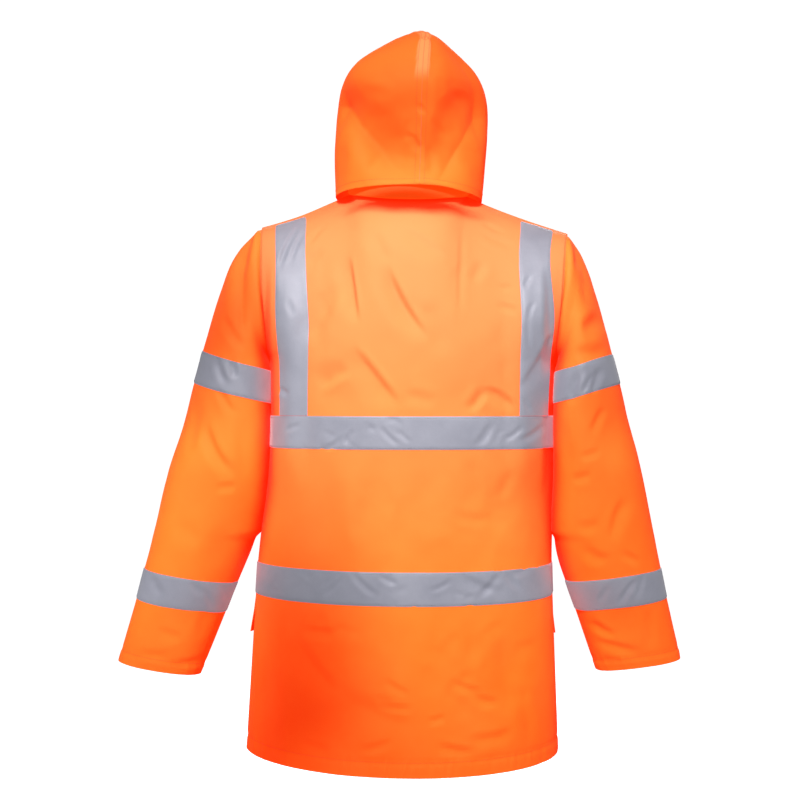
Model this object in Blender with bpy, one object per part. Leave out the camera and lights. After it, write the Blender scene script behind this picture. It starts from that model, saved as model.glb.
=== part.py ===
"""Hooded hi-vis work jacket, filled out as on its wearer, with the hood up and the zip closed.

Every cut piece is a thin wall of cloth. A piece is a grid of points on its outer face, worked out
from tables of sections, and the wall is that grid and the same grid moved inwards by the cloth's
thickness. Neighbouring pieces share their seam points, and each is drawn back a hair from the seam.

Metres, +Z up. The wearer faces -Y, so +X is the wearer's left. The origin is on the wearer's
spine, level with the points where the shoulder seams meet the collar.
"""

import math
from collections import namedtuple

import bmesh
import bpy
import numpy as np

# Cloth
SHELL_THICKNESS = 0.0018
TAPE_THICKNESS = 0.0010
POCKET_THICKNESS = 0.0012
SEAM_GAP = 0.0003
LAYER_GAP = 0.0003

# Heights
HEM = -0.876
ARMPIT = -0.265
NAPE = -0.017
FRONT_NECK = -0.082
TAPE_WIDTH = 0.050
WAIST_TAPE_BOTTOM = -0.630
CHEST_TAPE_BOTTOM = -0.400
POCKET_BOTTOM = -0.840
POCKET_TOP = -0.665
FLAP_BOTTOM = -0.700
HEM_DIP = 0.0145  # the hem hangs this much lower at the middle of the back than at the side seams

# Widths
ROUNDNESS = 2.35  # power of the superellipse that every body ring follows
NECK_HALF_WIDTH = 0.092
NECK_BACK = 0.087
NECK_FRONT = 0.096
NECK_DROP_POWER = 1.5  # how steeply the neck seam falls from the shoulders to its middles
BRACE_INNER = 0.163  # cloth from the middle of the back or front to a brace tape's inner edge
BRACE_TOP = (0.170, 0.2215)  # a brace tape's two edges where it crosses the shoulder
SHOULDER_TIP = (0.244, 0.0, -0.0565)
SHOULDER_SAG = 0.004  # the shoulder seam hollows this much between the neck and its tip
ARMHOLE_DEPTH_BACK = 0.088
ARMHOLE_DEPTH_FRONT = 0.086
ARMHOLE_POWER = 0.9  # below 1 the armhole is squarer than an ellipse
ARMHOLE_WAIST = 0.004  # how far the armhole's middle bends in towards the spine
ZIP_OPENING = 0.008  # half the gap between the two fronts
LEFT_SEAM_SHIFT = 0.040  # the left side seam has swung this far towards the back below the armpit
LEAN = 0.0125  # sideways metres towards the wearer's left for each metre down
TILT = 0.027  # the left shoulder is carried higher: metres up for each metre to the left
TILT_TOP = -0.10
TILT_END = -0.36  # the cloth hangs level below this height
SWAY = 0.0095  # the shoulders, braces and chest sit this far to the right of the neck and hem
SWAY_INNER = (0.10, 0.16)  # widths between which the sway begins
SWAY_OUTER = (0.235, 0.30)  # and between which it ends
SWAY_TOP = (0.0, 0.05)  # depths below the neck between which it begins
SWAY_END = (0.42, 0.60)  # and between which it ends
HEM_TILT = 0.010  # the hem and cuffs are a little higher on the left again
BODY_CLEARANCE = 0.0026  # the sleeves lie this far from the sides of the body

# Grid
ROW_STEP = 0.037
YOKE_ROWS = 9
SHOULDER_ROUNDNESS = 2.4
YOKE_FLATNESS = (4.0, 8.0)  # how closely the armhole's depth keeps to it: at the top, and more below

BodyRing = namedtuple("BodyRing", "height half_width back front")
BODY_RINGS = (
    BodyRing(HEM, 0.248, 0.150, 0.160),
    BodyRing(WAIST_TAPE_BOTTOM, 0.236, 0.145, 0.156),
    BodyRing(-0.450, 0.228, 0.144, 0.154),
    BodyRing(-0.330, 0.226, 0.145, 0.153),
    BodyRing(ARMPIT, 0.228, 0.143, 0.150),
)

# The middle of the back and of the front above the armpits: share of the way up, depth.
MidLine = namedtuple("MidLine", "share depth")
BACK_MIDDLE = (MidLine(0.0, 0.143), MidLine(0.4, 0.139), MidLine(0.75, 0.118), MidLine(1.0, 0.087))
FRONT_MIDDLE = (MidLine(0.0, 0.150), MidLine(0.4, 0.143), MidLine(0.75, 0.122), MidLine(1.0, 0.096))

# A sleeve from above the first tape to the cuff. Each section runs from an inner point to an outer
# point, both seen from behind, and is as deep as twice half_depth around middle_y.
SleeveRing = namedtuple("SleeveRing", "rings inner_x inner_z outer_x outer_z half_depth middle_y")
SLEEVE_RINGS = (
    SleeveRing(1, 0.2300, -0.2675, 0.2700, -0.081, 0.0890, 0.003),
    SleeveRing(1, 0.2290, -0.2705, 0.2865, -0.114, 0.0900, 0.008),
    SleeveRing(1, 0.2260, -0.2750, 0.3040, -0.165, 0.0900, 0.014),
    SleeveRing(1, 0.2230, -0.2820, 0.3255, -0.250, 0.0885, 0.020),
    SleeveRing(2, 0.2200, -0.3320, 0.3380, -0.299, 0.0870, 0.026),
    SleeveRing(2, 0.2190, -0.3970, 0.3545, -0.369, 0.0840, 0.030),
    SleeveRing(2, 0.2220, -0.4700, 0.3730, -0.441, 0.0800, 0.028),
    SleeveRing(2, 0.2310, -0.5450, 0.3905, -0.520, 0.0740, 0.019),
    SleeveRing(2, 0.2545, -0.6110, 0.4060, -0.589, 0.0670, 0.008),
    SleeveRing(2, 0.2720, -0.6600, 0.4175, -0.638, 0.0600, -0.002),
    SleeveRing(3, 0.3070, -0.7610, 0.4435, -0.740, 0.0460, -0.020),
)
UPPER_SLEEVE_TAPE = (3, 4)  # the sections at the edges of a sleeve's two tapes
LOWER_SLEEVE_TAPE = (8, 9)
SLEEVE_ROUNDNESS = 2.2

# The two arms hang differently. Each value is what a cuff has moved by when it is fully reached.
SleevePose = namedtuple("SleevePose", "name sign outward forward longer")
SLEEVE_POSES = (
    SleevePose("sleeve_left", 1, 0.022, 0.000, 0.010),
    SleevePose("sleeve_right", -1, 0.004, 0.045, 0.000),
)

# The hood, from its lower edge to the seam along its top.
HoodRing = namedtuple(
    "HoodRing", "rings side_z back_z front_z half_width back front front_half_width"
)
HOOD_RINGS = (
    HoodRing(0, -0.007, 0.003, -0.030, 0.1170, 0.0990, 0.098, 0.060),
    HoodRing(2, 0.045, 0.046, 0.036, 0.1200, 0.1100, 0.107, 0.082),
    HoodRing(3, 0.108, 0.104, 0.106, 0.1210, 0.1320, 0.114, 0.094),
    HoodRing(2, 0.151, 0.142, 0.152, 0.1195, 0.1380, 0.117, 0.093),
    HoodRing(1, 0.174, 0.163, 0.177, 0.1130, 0.1340, 0.119, 0.086),
    HoodRing(1, 0.200, 0.184, 0.200, 0.0960, 0.1255, 0.120, 0.070),
    HoodRing(1, 0.219, 0.199, 0.217, 0.0770, 0.1155, 0.120, 0.053),
    HoodRing(1, 0.239, 0.214, 0.232, 0.0500, 0.1030, 0.119, 0.033),
    HoodRing(1, 0.2545, 0.226, 0.242, 0.0255, 0.0920, 0.118, 0.017),
    HoodRing(1, 0.2605, 0.233, 0.2465, 0.0000, 0.0840, 0.1175, 0.000),
)
HOOD_FRONT_COLUMNS = 5
HOOD_BACK_COLUMNS = 8
HOOD_MIDDLE_Y = 0.0
HOOD_ROUNDNESS = 2.3
HOOD_CORE_HEIGHT = 0.10  # the middle of the hood's crown, which its cloth faces away from

# The stand collar inside the hood: height above the neck seam, and how far it has moved out.
CollarRing = namedtuple("CollarRing", "height spread_side spread_back spread_front")
COLLAR_RINGS = (
    CollarRing(0.022, 0.000, 0.004, -0.001),
    CollarRing(0.045, -0.001, 0.008, -0.001),
    CollarRing(0.066, -0.003, 0.010, 0.001),
)

FOLD_RUN_OUT = 0.12  # share of its length that a fold runs on past each end
FOLD_TAPER = 0.40  # share of its length over which it fades in

# Folds: where each starts and ends as seen from behind or in front, its half widths on the upper
# and the lower side, and how deep it sinks. A negative depth is a ridge.
Fold = namedtuple("Fold", "start_x start_z end_x end_z above below depth")
BACK_FOLDS = (
    Fold(0.088, -0.115, 0.060, -0.210, 0.020, 0.024, 0.0050),
    Fold(0.030, -0.120, -0.012, -0.215, 0.022, 0.022, 0.0050),
    Fold(-0.100, -0.110, -0.135, -0.200, 0.020, 0.026, 0.0040),
    Fold(0.135, -0.290, 0.050, -0.335, 0.022, 0.030, 0.0060),
    Fold(-0.120, -0.300, -0.060, -0.340, 0.020, 0.026, 0.0050),
    Fold(0.190, -0.660, 0.090, -0.760, 0.034, 0.040, 0.0070),
    Fold(-0.200, -0.690, -0.110, -0.820, 0.030, 0.036, 0.0060),
    Fold(0.080, -0.470, 0.150, -0.560, 0.030, 0.034, 0.0050),
    Fold(-0.160, -0.450, -0.090, -0.545, 0.030, 0.030, 0.0050),
)
FRONT_FOLDS = (
    Fold(0.110, -0.130, 0.140, -0.230, 0.022, 0.026, 0.0050),
    Fold(-0.100, -0.120, -0.150, -0.220, 0.022, 0.026, 0.0050),
    Fold(0.180, -0.420, 0.080, -0.520, 0.030, 0.034, 0.0060),
    Fold(-0.190, -0.430, -0.070, -0.500, 0.030, 0.034, 0.0050),
    Fold(0.050, -0.690, 0.070, -0.850, 0.024, 0.028, 0.0050),
    Fold(-0.055, -0.700, -0.080, -0.860, 0.024, 0.028, 0.0050),
)
SLEEVE_FOLDS = (
    Fold(0.300, -0.155, 0.280, -0.235, 0.016, 0.016, 0.0050),
    Fold(0.335, -0.350, 0.290, -0.425, 0.020, 0.022, 0.0060),
    Fold(0.290, -0.440, 0.345, -0.520, 0.022, 0.024, 0.0060),
    Fold(0.300, -0.660, 0.390, -0.700, 0.020, 0.020, 0.0045),
)
HOOD_FOLDS = (
    Fold(0.122, 0.152, 0.014, 0.030, 0.046, 0.026, 0.0170),
    Fold(0.014, 0.150, 0.020, 0.040, 0.012, 0.020, -0.0040),
)

# Pocket flap: how far it stands off the pocket, and how much more at its outer corner
FLAP_EASE = 0.0012
FLAP_CORNER_LIFT = 0.0035

# Zip
ZIP_TAPE_WIDTH = 0.020
CHAIN_HALF_WIDTH = 0.0028
CHAIN_PROUD = 0.0002  # the chain's front stands this far out of the cloth's outer face
SLIDER_HEIGHT = -0.030
SLIDER_LENGTH = 0.016
SLIDER_WIDTH = 0.0100
SLIDER_PLATE = 0.0016
BRIDGE_WIDTH = 0.0024
BRIDGE_BAR = 0.0011
BRIDGE_HOLE_HEIGHT = 0.0044
BRIDGE_HOLE_DEPTH = 0.0026
BRIDGE_SINK = 0.0006  # how deep the bridge's feet go into the plate
PULL_LENGTH = 0.034
PULL_WIDTH = 0.0080
PULL_THICKNESS = 0.0014
PULL_WINDOW_WIDTH = 0.0040
PULL_WINDOW_LENGTH = 0.0068
PULL_BEVEL = 0.0005

CREASE_ANGLE = 50  # degrees: flatter edges are shaded smooth

Finish = namedtuple("Finish", "colour roughness metallic")
FINISHES = {
    "orange_cloth": Finish((0.95, 0.17, 0.012, 1.0), 0.55, 0.0),
    "reflective_tape": Finish((0.42, 0.42, 0.48, 1.0), 0.38, 0.25),
    "zip_cloth": Finish((0.90, 0.15, 0.012, 1.0), 0.70, 0.0),
    "zip_metal": Finish((0.32, 0.32, 0.34, 1.0), 0.35, 0.9),
}


def column_of(table, name):
    return np.array([getattr(row, name) for row in table])


def smooth_through(knots, values, at):
    """A smooth curve through the values at the knots: cubic pieces with averaged slopes."""
    knots, values, at = np.asarray(knots), np.asarray(values), np.asarray(at)
    slopes = np.gradient(values, knots)
    piece = np.clip(np.searchsorted(knots, at) - 1, 0, len(knots) - 2)
    width = knots[piece + 1] - knots[piece]
    t = (at - knots[piece]) / width
    return (
        values[piece] * (1 + 2 * t) * (1 - t) ** 2
        + slopes[piece] * width * t * (1 - t) ** 2
        + values[piece + 1] * t * t * (3 - 2 * t)
        + slopes[piece + 1] * width * t * t * (t - 1)
    )


def levels_between(stops, step):
    """Heights that hit every stop and are no more than a step apart."""
    heights = [stops[0]]
    for low, high in zip(stops, stops[1:]):
        count = math.ceil((high - low) / step - 1e-6)
        heights.extend(low + (high - low) * k / count for k in range(1, count + 1))
    return np.array(heights)


BODY_LEVELS = levels_between(
    (
        HEM,
        POCKET_BOTTOM,
        FLAP_BOTTOM,
        POCKET_TOP,
        WAIST_TAPE_BOTTOM,
        WAIST_TAPE_BOTTOM + TAPE_WIDTH,
        CHEST_TAPE_BOTTOM,
        CHEST_TAPE_BOTTOM + TAPE_WIDTH,
        ARMPIT,
    ),
    ROW_STEP,
)

# Columns of a half panel, from the middle of the back or front to the side seam.
NECK_COLUMNS = 5
SHOULDER_COLUMNS = 2
BRACE_COLUMNS = 2
SIDE_COLUMNS = 3
HALF_COLUMNS = NECK_COLUMNS + SHOULDER_COLUMNS + BRACE_COLUMNS + SIDE_COLUMNS
BRACE_START = NECK_COLUMNS + SHOULDER_COLUMNS
POCKET_SPAN = (NECK_COLUMNS, HALF_COLUMNS - 1)


def row_at(height):
    return int(np.argmin(abs(BODY_LEVELS - height)))


def quarter_ring(half_width, depth, power, count=400):
    """A quarter of a superellipse from the middle (x = 0) to the side, finely divided."""
    angle = np.linspace(0, math.pi / 2, count)
    return half_width * np.sin(angle) ** (2 / power), depth * np.cos(angle) ** (2 / power)


def side_distances(edge, start):
    """Cloth from the middle to each column: start at the middle edge, edge at the side seam."""
    brace_outer = BRACE_INNER + TAPE_WIDTH
    return np.concatenate(
        [
            np.linspace(start, NECK_HALF_WIDTH, NECK_COLUMNS + 1),
            np.linspace(NECK_HALF_WIDTH, BRACE_INNER, SHOULDER_COLUMNS + 1)[1:],
            np.linspace(BRACE_INNER, brace_outer, BRACE_COLUMNS + 1)[1:],
            np.linspace(brace_outer, edge, SIDE_COLUMNS + 1)[1:],
        ]
    )


def body_row(height, side, start, shift=0.0):
    """One row of a half panel below the armpit. Side is +1 for the back and -1 for the front.

    The side seam lies behind the side of the body by shift at the hem, and by less higher up.
    """
    heights = column_of(BODY_RINGS, "height")
    half_width = smooth_through(heights, column_of(BODY_RINGS, "half_width"), height)
    quarters = []
    for name in ("back", "front"):
        depth = smooth_through(heights, column_of(BODY_RINGS, name), height)
        quarters.append(np.stack(quarter_ring(half_width, depth, ROUNDNESS), axis=1))
    back, front = quarters
    ring = np.concatenate([back, front[::-1][1:] * np.array([1, -1])])
    if side < 0:
        ring = ring[::-1]
    along = np.concatenate([[0], np.cumsum(np.hypot(*np.diff(ring, axis=0).T))])
    quarter = along[len(back) - 1]
    low = np.clip((ARMPIT - height) / (ARMPIT - WAIST_TAPE_BOTTOM), 0, 1)
    at = side_distances(quarter - side * shift * low * low * (3 - 2 * low), start)
    xs, ys = np.interp(at, along, ring[:, 0]), np.interp(at, along, ring[:, 1])
    dip = HEM_DIP * np.clip((ARMPIT - height) / (ARMPIT - HEM), 0, 1) ** 2
    return np.stack([xs, ys, height - dip * (1 - (xs / half_width) ** 2)], axis=1)


def armhole_edge(share, side):
    """The armhole from the armpit (share 0) over its back or front to the shoulder tip (share 1)."""
    angle = share * math.pi
    depth = ARMHOLE_DEPTH_BACK if side > 0 else ARMHOLE_DEPTH_FRONT
    middle = (ARMPIT + SHOULDER_TIP[2]) / 2
    reach = (SHOULDER_TIP[2] - ARMPIT) / 2
    armpit_x = BODY_RINGS[-1].half_width
    x = armpit_x + (SHOULDER_TIP[0] - armpit_x) * share - ARMHOLE_WAIST * np.sin(angle)
    y = side * depth * np.sin(angle) ** ARMHOLE_POWER
    return np.stack([x, y, middle - reach * np.cos(angle)], axis=-1)


def top_edge(side, start):
    """The neck seam from its middle to the shoulder, then the shoulder seam to its tip."""
    depth = NECK_BACK if side > 0 else NECK_FRONT
    drop = NAPE if side > 0 else FRONT_NECK
    first = math.asin(start / NECK_HALF_WIDTH)
    angle = np.linspace(first, math.pi / 2, NECK_COLUMNS + 1)
    neck = np.stack(
        [
            NECK_HALF_WIDTH * np.sin(angle),
            side * depth * np.cos(angle) ** (2 / ROUNDNESS),
            drop * np.cos(angle) ** NECK_DROP_POWER,
        ],
        axis=1,
    )
    inner, outer = BRACE_TOP
    x = np.concatenate(
        [
            np.linspace(NECK_HALF_WIDTH, inner, SHOULDER_COLUMNS + 1)[1:],
            np.linspace(inner, outer, BRACE_COLUMNS + 1)[1:],
            np.linspace(outer, SHOULDER_TIP[0], SIDE_COLUMNS + 1)[1:],
        ]
    )
    share = (x - NECK_HALF_WIDTH) / (SHOULDER_TIP[0] - NECK_HALF_WIDTH)
    sag = SHOULDER_SAG * np.sin(share * math.pi)
    shoulder = np.stack([x, 0 * x, SHOULDER_TIP[2] * share - sag], axis=1)
    return np.concatenate([neck, shoulder])


def middle_edge(side, start):
    """The middle of the back or front from armpit level to the neck seam, one point per row."""
    table = BACK_MIDDLE if side > 0 else FRONT_MIDDLE
    share = np.linspace(0, 1, YOKE_ROWS + 1)
    top = top_edge(side, start)[0]
    low = body_row(ARMPIT, side, start)[0]
    depth = smooth_through(column_of(table, "share"), column_of(table, "depth"), share)
    depth = depth + (low[1] * side - depth[0]) * (1 - share) + (top[1] * side - depth[-1]) * share
    rise = low[2] + (top[2] - low[2]) * share
    return np.stack([np.full_like(share, start), side * depth, rise], axis=1)


def yoke_rows(side, start):
    """The rows above armpit level, stretched between the four seams around them."""
    bottom, top = body_row(ARMPIT, side, start), top_edge(side, start)
    share = np.linspace(0, 1, YOKE_ROWS + 1)
    middle, armhole = middle_edge(side, start), armhole_edge(share, side)
    turn = share * math.pi / 2
    climb = np.stack(  # how far each coordinate has gone from the bottom row to the top seam
        [
            share,
            1 - np.cos(turn) ** (2 / SHOULDER_ROUNDNESS),
            np.sin(turn) ** (2 / SHOULDER_ROUNDNESS),
        ],
        axis=1,
    )[:, None, :]
    across = np.linspace(0, 1, HALF_COLUMNS + 1)
    spacing = np.abs(bottom[:, 0] / bottom[-1, 0] + top[:, 0] / top[-1, 0]) / 2
    across = np.clip((spacing + across) / 2, 0, 1)[None, :, None]
    across = (across - across[:, :1]) / (across[:, -1:] - across[:, :1])
    flatness, more_below = YOKE_FLATNESS
    spread = across ** (flatness + more_below * (1 - share[:, None, None]) ** 2)
    level = np.broadcast_to(across, spread.shape)
    near_armhole = np.concatenate([level, spread, level], axis=-1)
    between = bottom[None] * (1 - climb) + top[None] * climb
    low, high = middle[0], middle[-1]
    along_middle = middle[:, None] - (low * (1 - climb) + high * climb)
    low, high = armhole[0], armhole[-1]
    along_armhole = armhole[:, None] - (low * (1 - climb) + high * climb)
    return between + (1 - near_armhole) * along_middle + near_armhole * along_armhole


def half_panel(side, start, shift=0.0):
    """Rows from the hem to the neck and shoulder seam, columns from the middle to the side."""
    lower = np.array([body_row(height, side, start, shift) for height in BODY_LEVELS[:-1]])
    return np.concatenate([lower, yoke_rows(side, start)])


def mirrored(points):
    return points * np.array([-1.0, 1.0, 1.0])


def fade_at_edges(rows, columns, reach=2.0):
    """1 inside a grid, 0 on its edges, so that folds end before a seam."""
    row = np.minimum(np.arange(rows), np.arange(rows)[::-1])
    column = np.minimum(np.arange(columns), np.arange(columns)[::-1])
    rise = np.clip(np.minimum(row[:, None], column[None, :]) / reach, 0, 1)
    return rise * rise * (3 - 2 * rise)


def fold_depth(points, folds):
    """How far the folds sink the cloth at each point, by its place seen from behind or in front."""
    depth = np.zeros(points.shape[:-1])
    place = points[..., [0, 2]]
    for fold in folds:
        start = np.array([fold.start_x, fold.start_z])
        run = np.array([fold.end_x, fold.end_z]) - start
        length = np.hypot(*run)
        along = (place - start) @ run / length**2
        across = ((place - start) @ np.array([-run[1], run[0]])) / length
        if run[0] > 0:
            across = -across
        width = np.where(across < 0, fold.above, fold.below)
        from_end = np.minimum(along, 1 - along) + FOLD_RUN_OUT
        taper = np.clip(from_end / FOLD_TAPER, 0, 1)
        taper = taper * taper * (3 - 2 * taper)
        depth += fold.depth * taper / (1 + (across / width) ** 2) ** 2
    return depth


def raw_normals(points, core):
    """Normals of a grid of points, turned away from the core points inside the garment."""
    rising = points[1:, 1:] - points[:-1, :-1]
    falling = points[:-1, 1:] - points[1:, :-1]
    cells = np.cross(falling, rising)
    normals = np.zeros_like(points)
    for rows in (slice(None, -1), slice(1, None)):
        for columns in (slice(None, -1), slice(1, None)):
            normals[rows, columns] += cells
    normals /= np.linalg.norm(normals, axis=-1, keepdims=True)
    outside = ((points - core) * normals).sum()
    return normals * np.sign(outside)


class Sheet:
    """The outer face of one cut piece: a grid of points, its rows' core, and its wall."""

    def __init__(self, name, points, core, material, thickness=SHELL_THICKNESS, gap=SEAM_GAP):
        self.name, self.points, self.core = name, points, core
        self.material, self.thickness, self.gap = material, thickness, gap
        self.normals = raw_normals(points, core)

    def sink(self, folds, faces):
        """Presses the folds into the part of the sheet that faces the given way along y."""
        facing = np.clip(self.normals[..., 1] * faces * 2.5, 0, 1)
        sunk = fold_depth(self.points, folds) * facing * fade_at_edges(*self.points.shape[:2])
        self.points = self.points - self.normals * sunk[..., None]
        self.normals = raw_normals(self.points, self.core)


def sew_normals(sheets):
    """Gives the points that sheets share at a seam one common normal, so that their rims meet."""
    sums = {}
    for sheet in sheets:
        keys = np.round(sheet.points * 1e5).astype(int).reshape(-1, 3)
        for key, normal in zip(map(tuple, keys), sheet.normals.reshape(-1, 3)):
            sums[key] = sums.get(key, 0) + normal
    for sheet in sheets:
        shape = sheet.points.shape
        keys = np.round(sheet.points * 1e5).astype(int).reshape(-1, 3)
        shared = np.array([sums[key] for key in map(tuple, keys)]).reshape(shape)
        sheet.normals = shared / np.linalg.norm(shared, axis=-1, keepdims=True)


def drawn_back(points, normals, gap):
    """The grid with each edge moved inwards by half a gap, square to the seam and the normal."""
    moved = points.copy()
    for axis in (0, 1):
        tangents = np.gradient(points, axis=1 - axis)
        for edge, inner in ((0, 1), (-1, -2)):
            place = [slice(None)] * 3
            place[axis] = edge
            place = tuple(place)
            inwards = np.cross(normals[place], tangents[place])
            run = np.take(points, inner, axis=axis) - points[place]
            inwards *= np.sign((inwards * run).sum())
            inwards /= np.linalg.norm(inwards, axis=-1, keepdims=True)
            moved[place] += inwards * gap / 2
    return moved


def ramp(value, low, high):
    """0 below low, 1 above high and smooth between them."""
    share = np.clip((value - low) / (high - low), 0, 1)
    return share * share * (3 - 2 * share)


def hang(points):
    """The garment leans and sways a little, with one shoulder higher than the other."""
    x, z = points[..., 0], points[..., 2]
    hanging = points.copy()
    hem_share = np.clip((ARMPIT - z) / (ARMPIT - HEM), 0, 1)
    tilt = TILT * ramp(z, TILT_END, TILT_TOP) + HEM_TILT * hem_share**2
    hanging[..., 2] += tilt * x
    yoke = ramp(abs(x), *SWAY_INNER) * (1 - ramp(abs(x), *SWAY_OUTER))
    swayed = SWAY * yoke * ramp(-z, *SWAY_TOP) * (1 - ramp(-z, *SWAY_END))
    hanging[..., 0] -= LEAN * z + TILT * np.maximum(z, 0) + swayed
    return hanging


def material_of(name):
    material = bpy.data.materials.get(name)
    if material is None:
        finish = FINISHES[name]
        material = bpy.data.materials.new(name)
        material.use_nodes = True
        shader = material.node_tree.nodes["Principled BSDF"]
        shader.inputs["Base Color"].default_value = finish.colour
        shader.inputs["Roughness"].default_value = finish.roughness
        shader.inputs["Metallic"].default_value = finish.metallic
        material.diffuse_color = finish.colour
    return material


def add_object(name, bm, material, parent):
    mesh = bpy.data.meshes.new(name)
    bm.to_mesh(mesh)
    bm.free()
    mesh.shade_smooth()
    mesh.set_sharp_from_angle(angle=math.radians(CREASE_ANGLE))
    mesh.materials.append(material_of(material))
    obj = bpy.data.objects.new(name, mesh)
    bpy.context.scene.collection.objects.link(obj)
    obj.parent = parent
    return obj


def add_wall(name, outer, inner, panel, material, parent):
    """A closed wall between two grids, split into triangles by the panel's own points.

    Pieces that meet or lie on each other share panel points, so their triangles run alike.
    """
    rows, columns = outer.shape[:2]
    flat = panel.reshape(-1, 3)
    keys = [tuple(key) for key in np.round(flat * 1e5).astype(int)]
    bm = bmesh.new()
    front, back = ([bm.verts.new(p) for p in grid.reshape(-1, 3)] for grid in (outer, inner))
    for r in range(rows - 1):
        for c in range(columns - 1):
            a = r * columns + c
            b, d, e = a + 1, a + columns, a + columns + 1
            rising = np.linalg.norm(flat[a] - flat[e])
            falling = np.linalg.norm(flat[b] - flat[d])
            split = ((a, b, e), (a, e, d)) if rising <= falling else ((a, b, d), (b, e, d))
            for triangle in split:
                bm.faces.new([front[k] for k in triangle])
                bm.faces.new([back[k] for k in triangle[::-1]])
    last_row, last_column = (rows - 1) * columns, columns - 1
    border = [
        *range(last_column),
        *range(last_column, last_row + last_column, columns),
        *range(last_row + last_column, last_row, -1),
        *range(last_row, 0, -columns),
    ]
    for a, b in zip(border, border[1:] + border[:1]):
        if keys[a] > keys[b]:
            a, b = b, a
        bm.faces.new([front[a], front[b], back[a]])
        bm.faces.new([front[b], back[b], back[a]])
    bmesh.ops.recalc_face_normals(bm, faces=bm.faces[:])
    if bm.calc_volume(signed=True) < 0:
        bmesh.ops.reverse_faces(bm, faces=bm.faces[:])
    return add_object(name, bm, material, parent)


def build_sheet(sheet, parent):
    points = drawn_back(sheet.points, sheet.normals, sheet.gap)
    inner = points - sheet.normals * sheet.thickness
    add_wall(sheet.name, hang(points), hang(inner), sheet.points, sheet.material, parent)


def build_layer(name, points, normals, lift, thickness, material, parent):
    """A piece that lies on a panel: the panel's own points moved out by lift and thickness."""
    lift = np.broadcast_to(lift, points.shape[:2])[..., None]
    edged = drawn_back(points, normals, SEAM_GAP)
    low = edged + normals * lift
    high = edged + normals * (lift + thickness)
    add_wall(name, hang(high), hang(low), points, material, parent)


def spine_core(points):
    core = points.copy()
    core[..., :2] = 0
    return core


def body_sheets():
    back_left, back_right = half_panel(1, 0.0, LEFT_SEAM_SHIFT), mirrored(half_panel(1, 0.0))
    back = np.concatenate([back_left[:, ::-1], back_right[:, 1:]], axis=1)
    front_left = half_panel(-1, ZIP_OPENING, LEFT_SEAM_SHIFT)
    front_right = mirrored(half_panel(-1, ZIP_OPENING))
    sheets = [
        Sheet("back", back, spine_core(back), "orange_cloth"),
        Sheet("front_left", front_left, spine_core(front_left), "orange_cloth"),
        Sheet("front_right", front_right, spine_core(front_right), "orange_cloth"),
    ]
    sheets[0].sink(BACK_FOLDS, 1)
    sheets[1].sink(FRONT_FOLDS, -1)
    sheets[2].sink(FRONT_FOLDS, -1)
    return sheets


def sleeve_grid():
    """Rings from the armhole to the cuff, each starting and ending at the underarm seam."""
    share = np.linspace(0, 1, YOKE_ROWS + 1)
    around = np.concatenate([share * math.pi, math.pi + share[1:] * math.pi])
    armhole = np.concatenate([armhole_edge(share, 1), armhole_edge(share, -1)[::-1][1:]])
    station = np.concatenate([[0], np.cumsum(column_of(SLEEVE_RINGS, "rings"))]).astype(float)
    middle = (SHOULDER_TIP[2] + ARMPIT) / 2
    first = SleeveRing(
        0, BODY_RINGS[-1].half_width, ARMPIT, SHOULDER_TIP[0], SHOULDER_TIP[2],
        (ARMHOLE_DEPTH_BACK + ARMHOLE_DEPTH_FRONT) / 2, 0.0,
    )
    table = (first, *SLEEVE_RINGS)
    at = np.arange(station[-1] + 1)
    place = {
        name: smooth_through(station, column_of(table, name), at)
        for name in SleeveRing._fields[1:]
    }
    rings, cores = [armhole], [np.broadcast_to([SHOULDER_TIP[0], 0, middle], armhole.shape)]
    power = 2 / SLEEVE_ROUNDNESS
    for k in range(1, len(at)):
        inner = np.array([place["inner_x"][k], place["middle_y"][k], place["inner_z"][k]])
        outer = np.array([place["outer_x"][k], place["middle_y"][k], place["outer_z"][k]])
        swing = -np.sign(np.cos(around)) * abs(np.cos(around)) ** power
        depth = np.sign(np.sin(around)) * abs(np.sin(around)) ** power * place["half_depth"][k]
        ring = (inner + outer) / 2 + swing[:, None] * (outer - inner) / 2
        ring[:, 1] += depth
        rings.append(ring)
        cores.append(np.broadcast_to((inner + outer) / 2, ring.shape))
    return np.array(rings), np.array(cores)


def posed(points, pose):
    """Moves a sleeve's points by its arm's pose, more and more from the shoulder to the cuff."""
    cuff = SLEEVE_RINGS[-1].inner_z
    share = np.clip((ARMPIT - points[..., 2]) / (ARMPIT - cuff), 0, 1)
    moved = points.copy()
    moved[..., 0] += pose.outward * share**2
    moved[..., 1] -= pose.forward * share**2
    moved[..., 2] -= pose.longer * share**2
    return moved


def clear_of_body(points):
    """Presses a sleeve flat where it would come closer to the side of the body than it may."""
    heights = column_of(BODY_RINGS, "height")
    z = points[..., 2]
    half_width = smooth_through(heights, column_of(BODY_RINGS, "half_width"), z)
    back = smooth_through(heights, column_of(BODY_RINGS, "back"), z)
    front = smooth_through(heights, column_of(BODY_RINGS, "front"), z)
    depth = np.where(points[..., 1] > 0, back, front)
    ratio = (abs(points[..., 0] / half_width) ** ROUNDNESS) + abs(points[..., 1] / depth) ** ROUNDNESS
    ratio = ratio ** (1 / ROUNDNESS)
    wanted = 1 + BODY_CLEARANCE / np.hypot(points[..., 0], points[..., 1])
    push = np.where(z < ARMPIT, np.maximum(wanted / ratio, 1), 1)
    moved = points.copy()
    moved[..., :2] *= push[..., None]
    return moved


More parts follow.
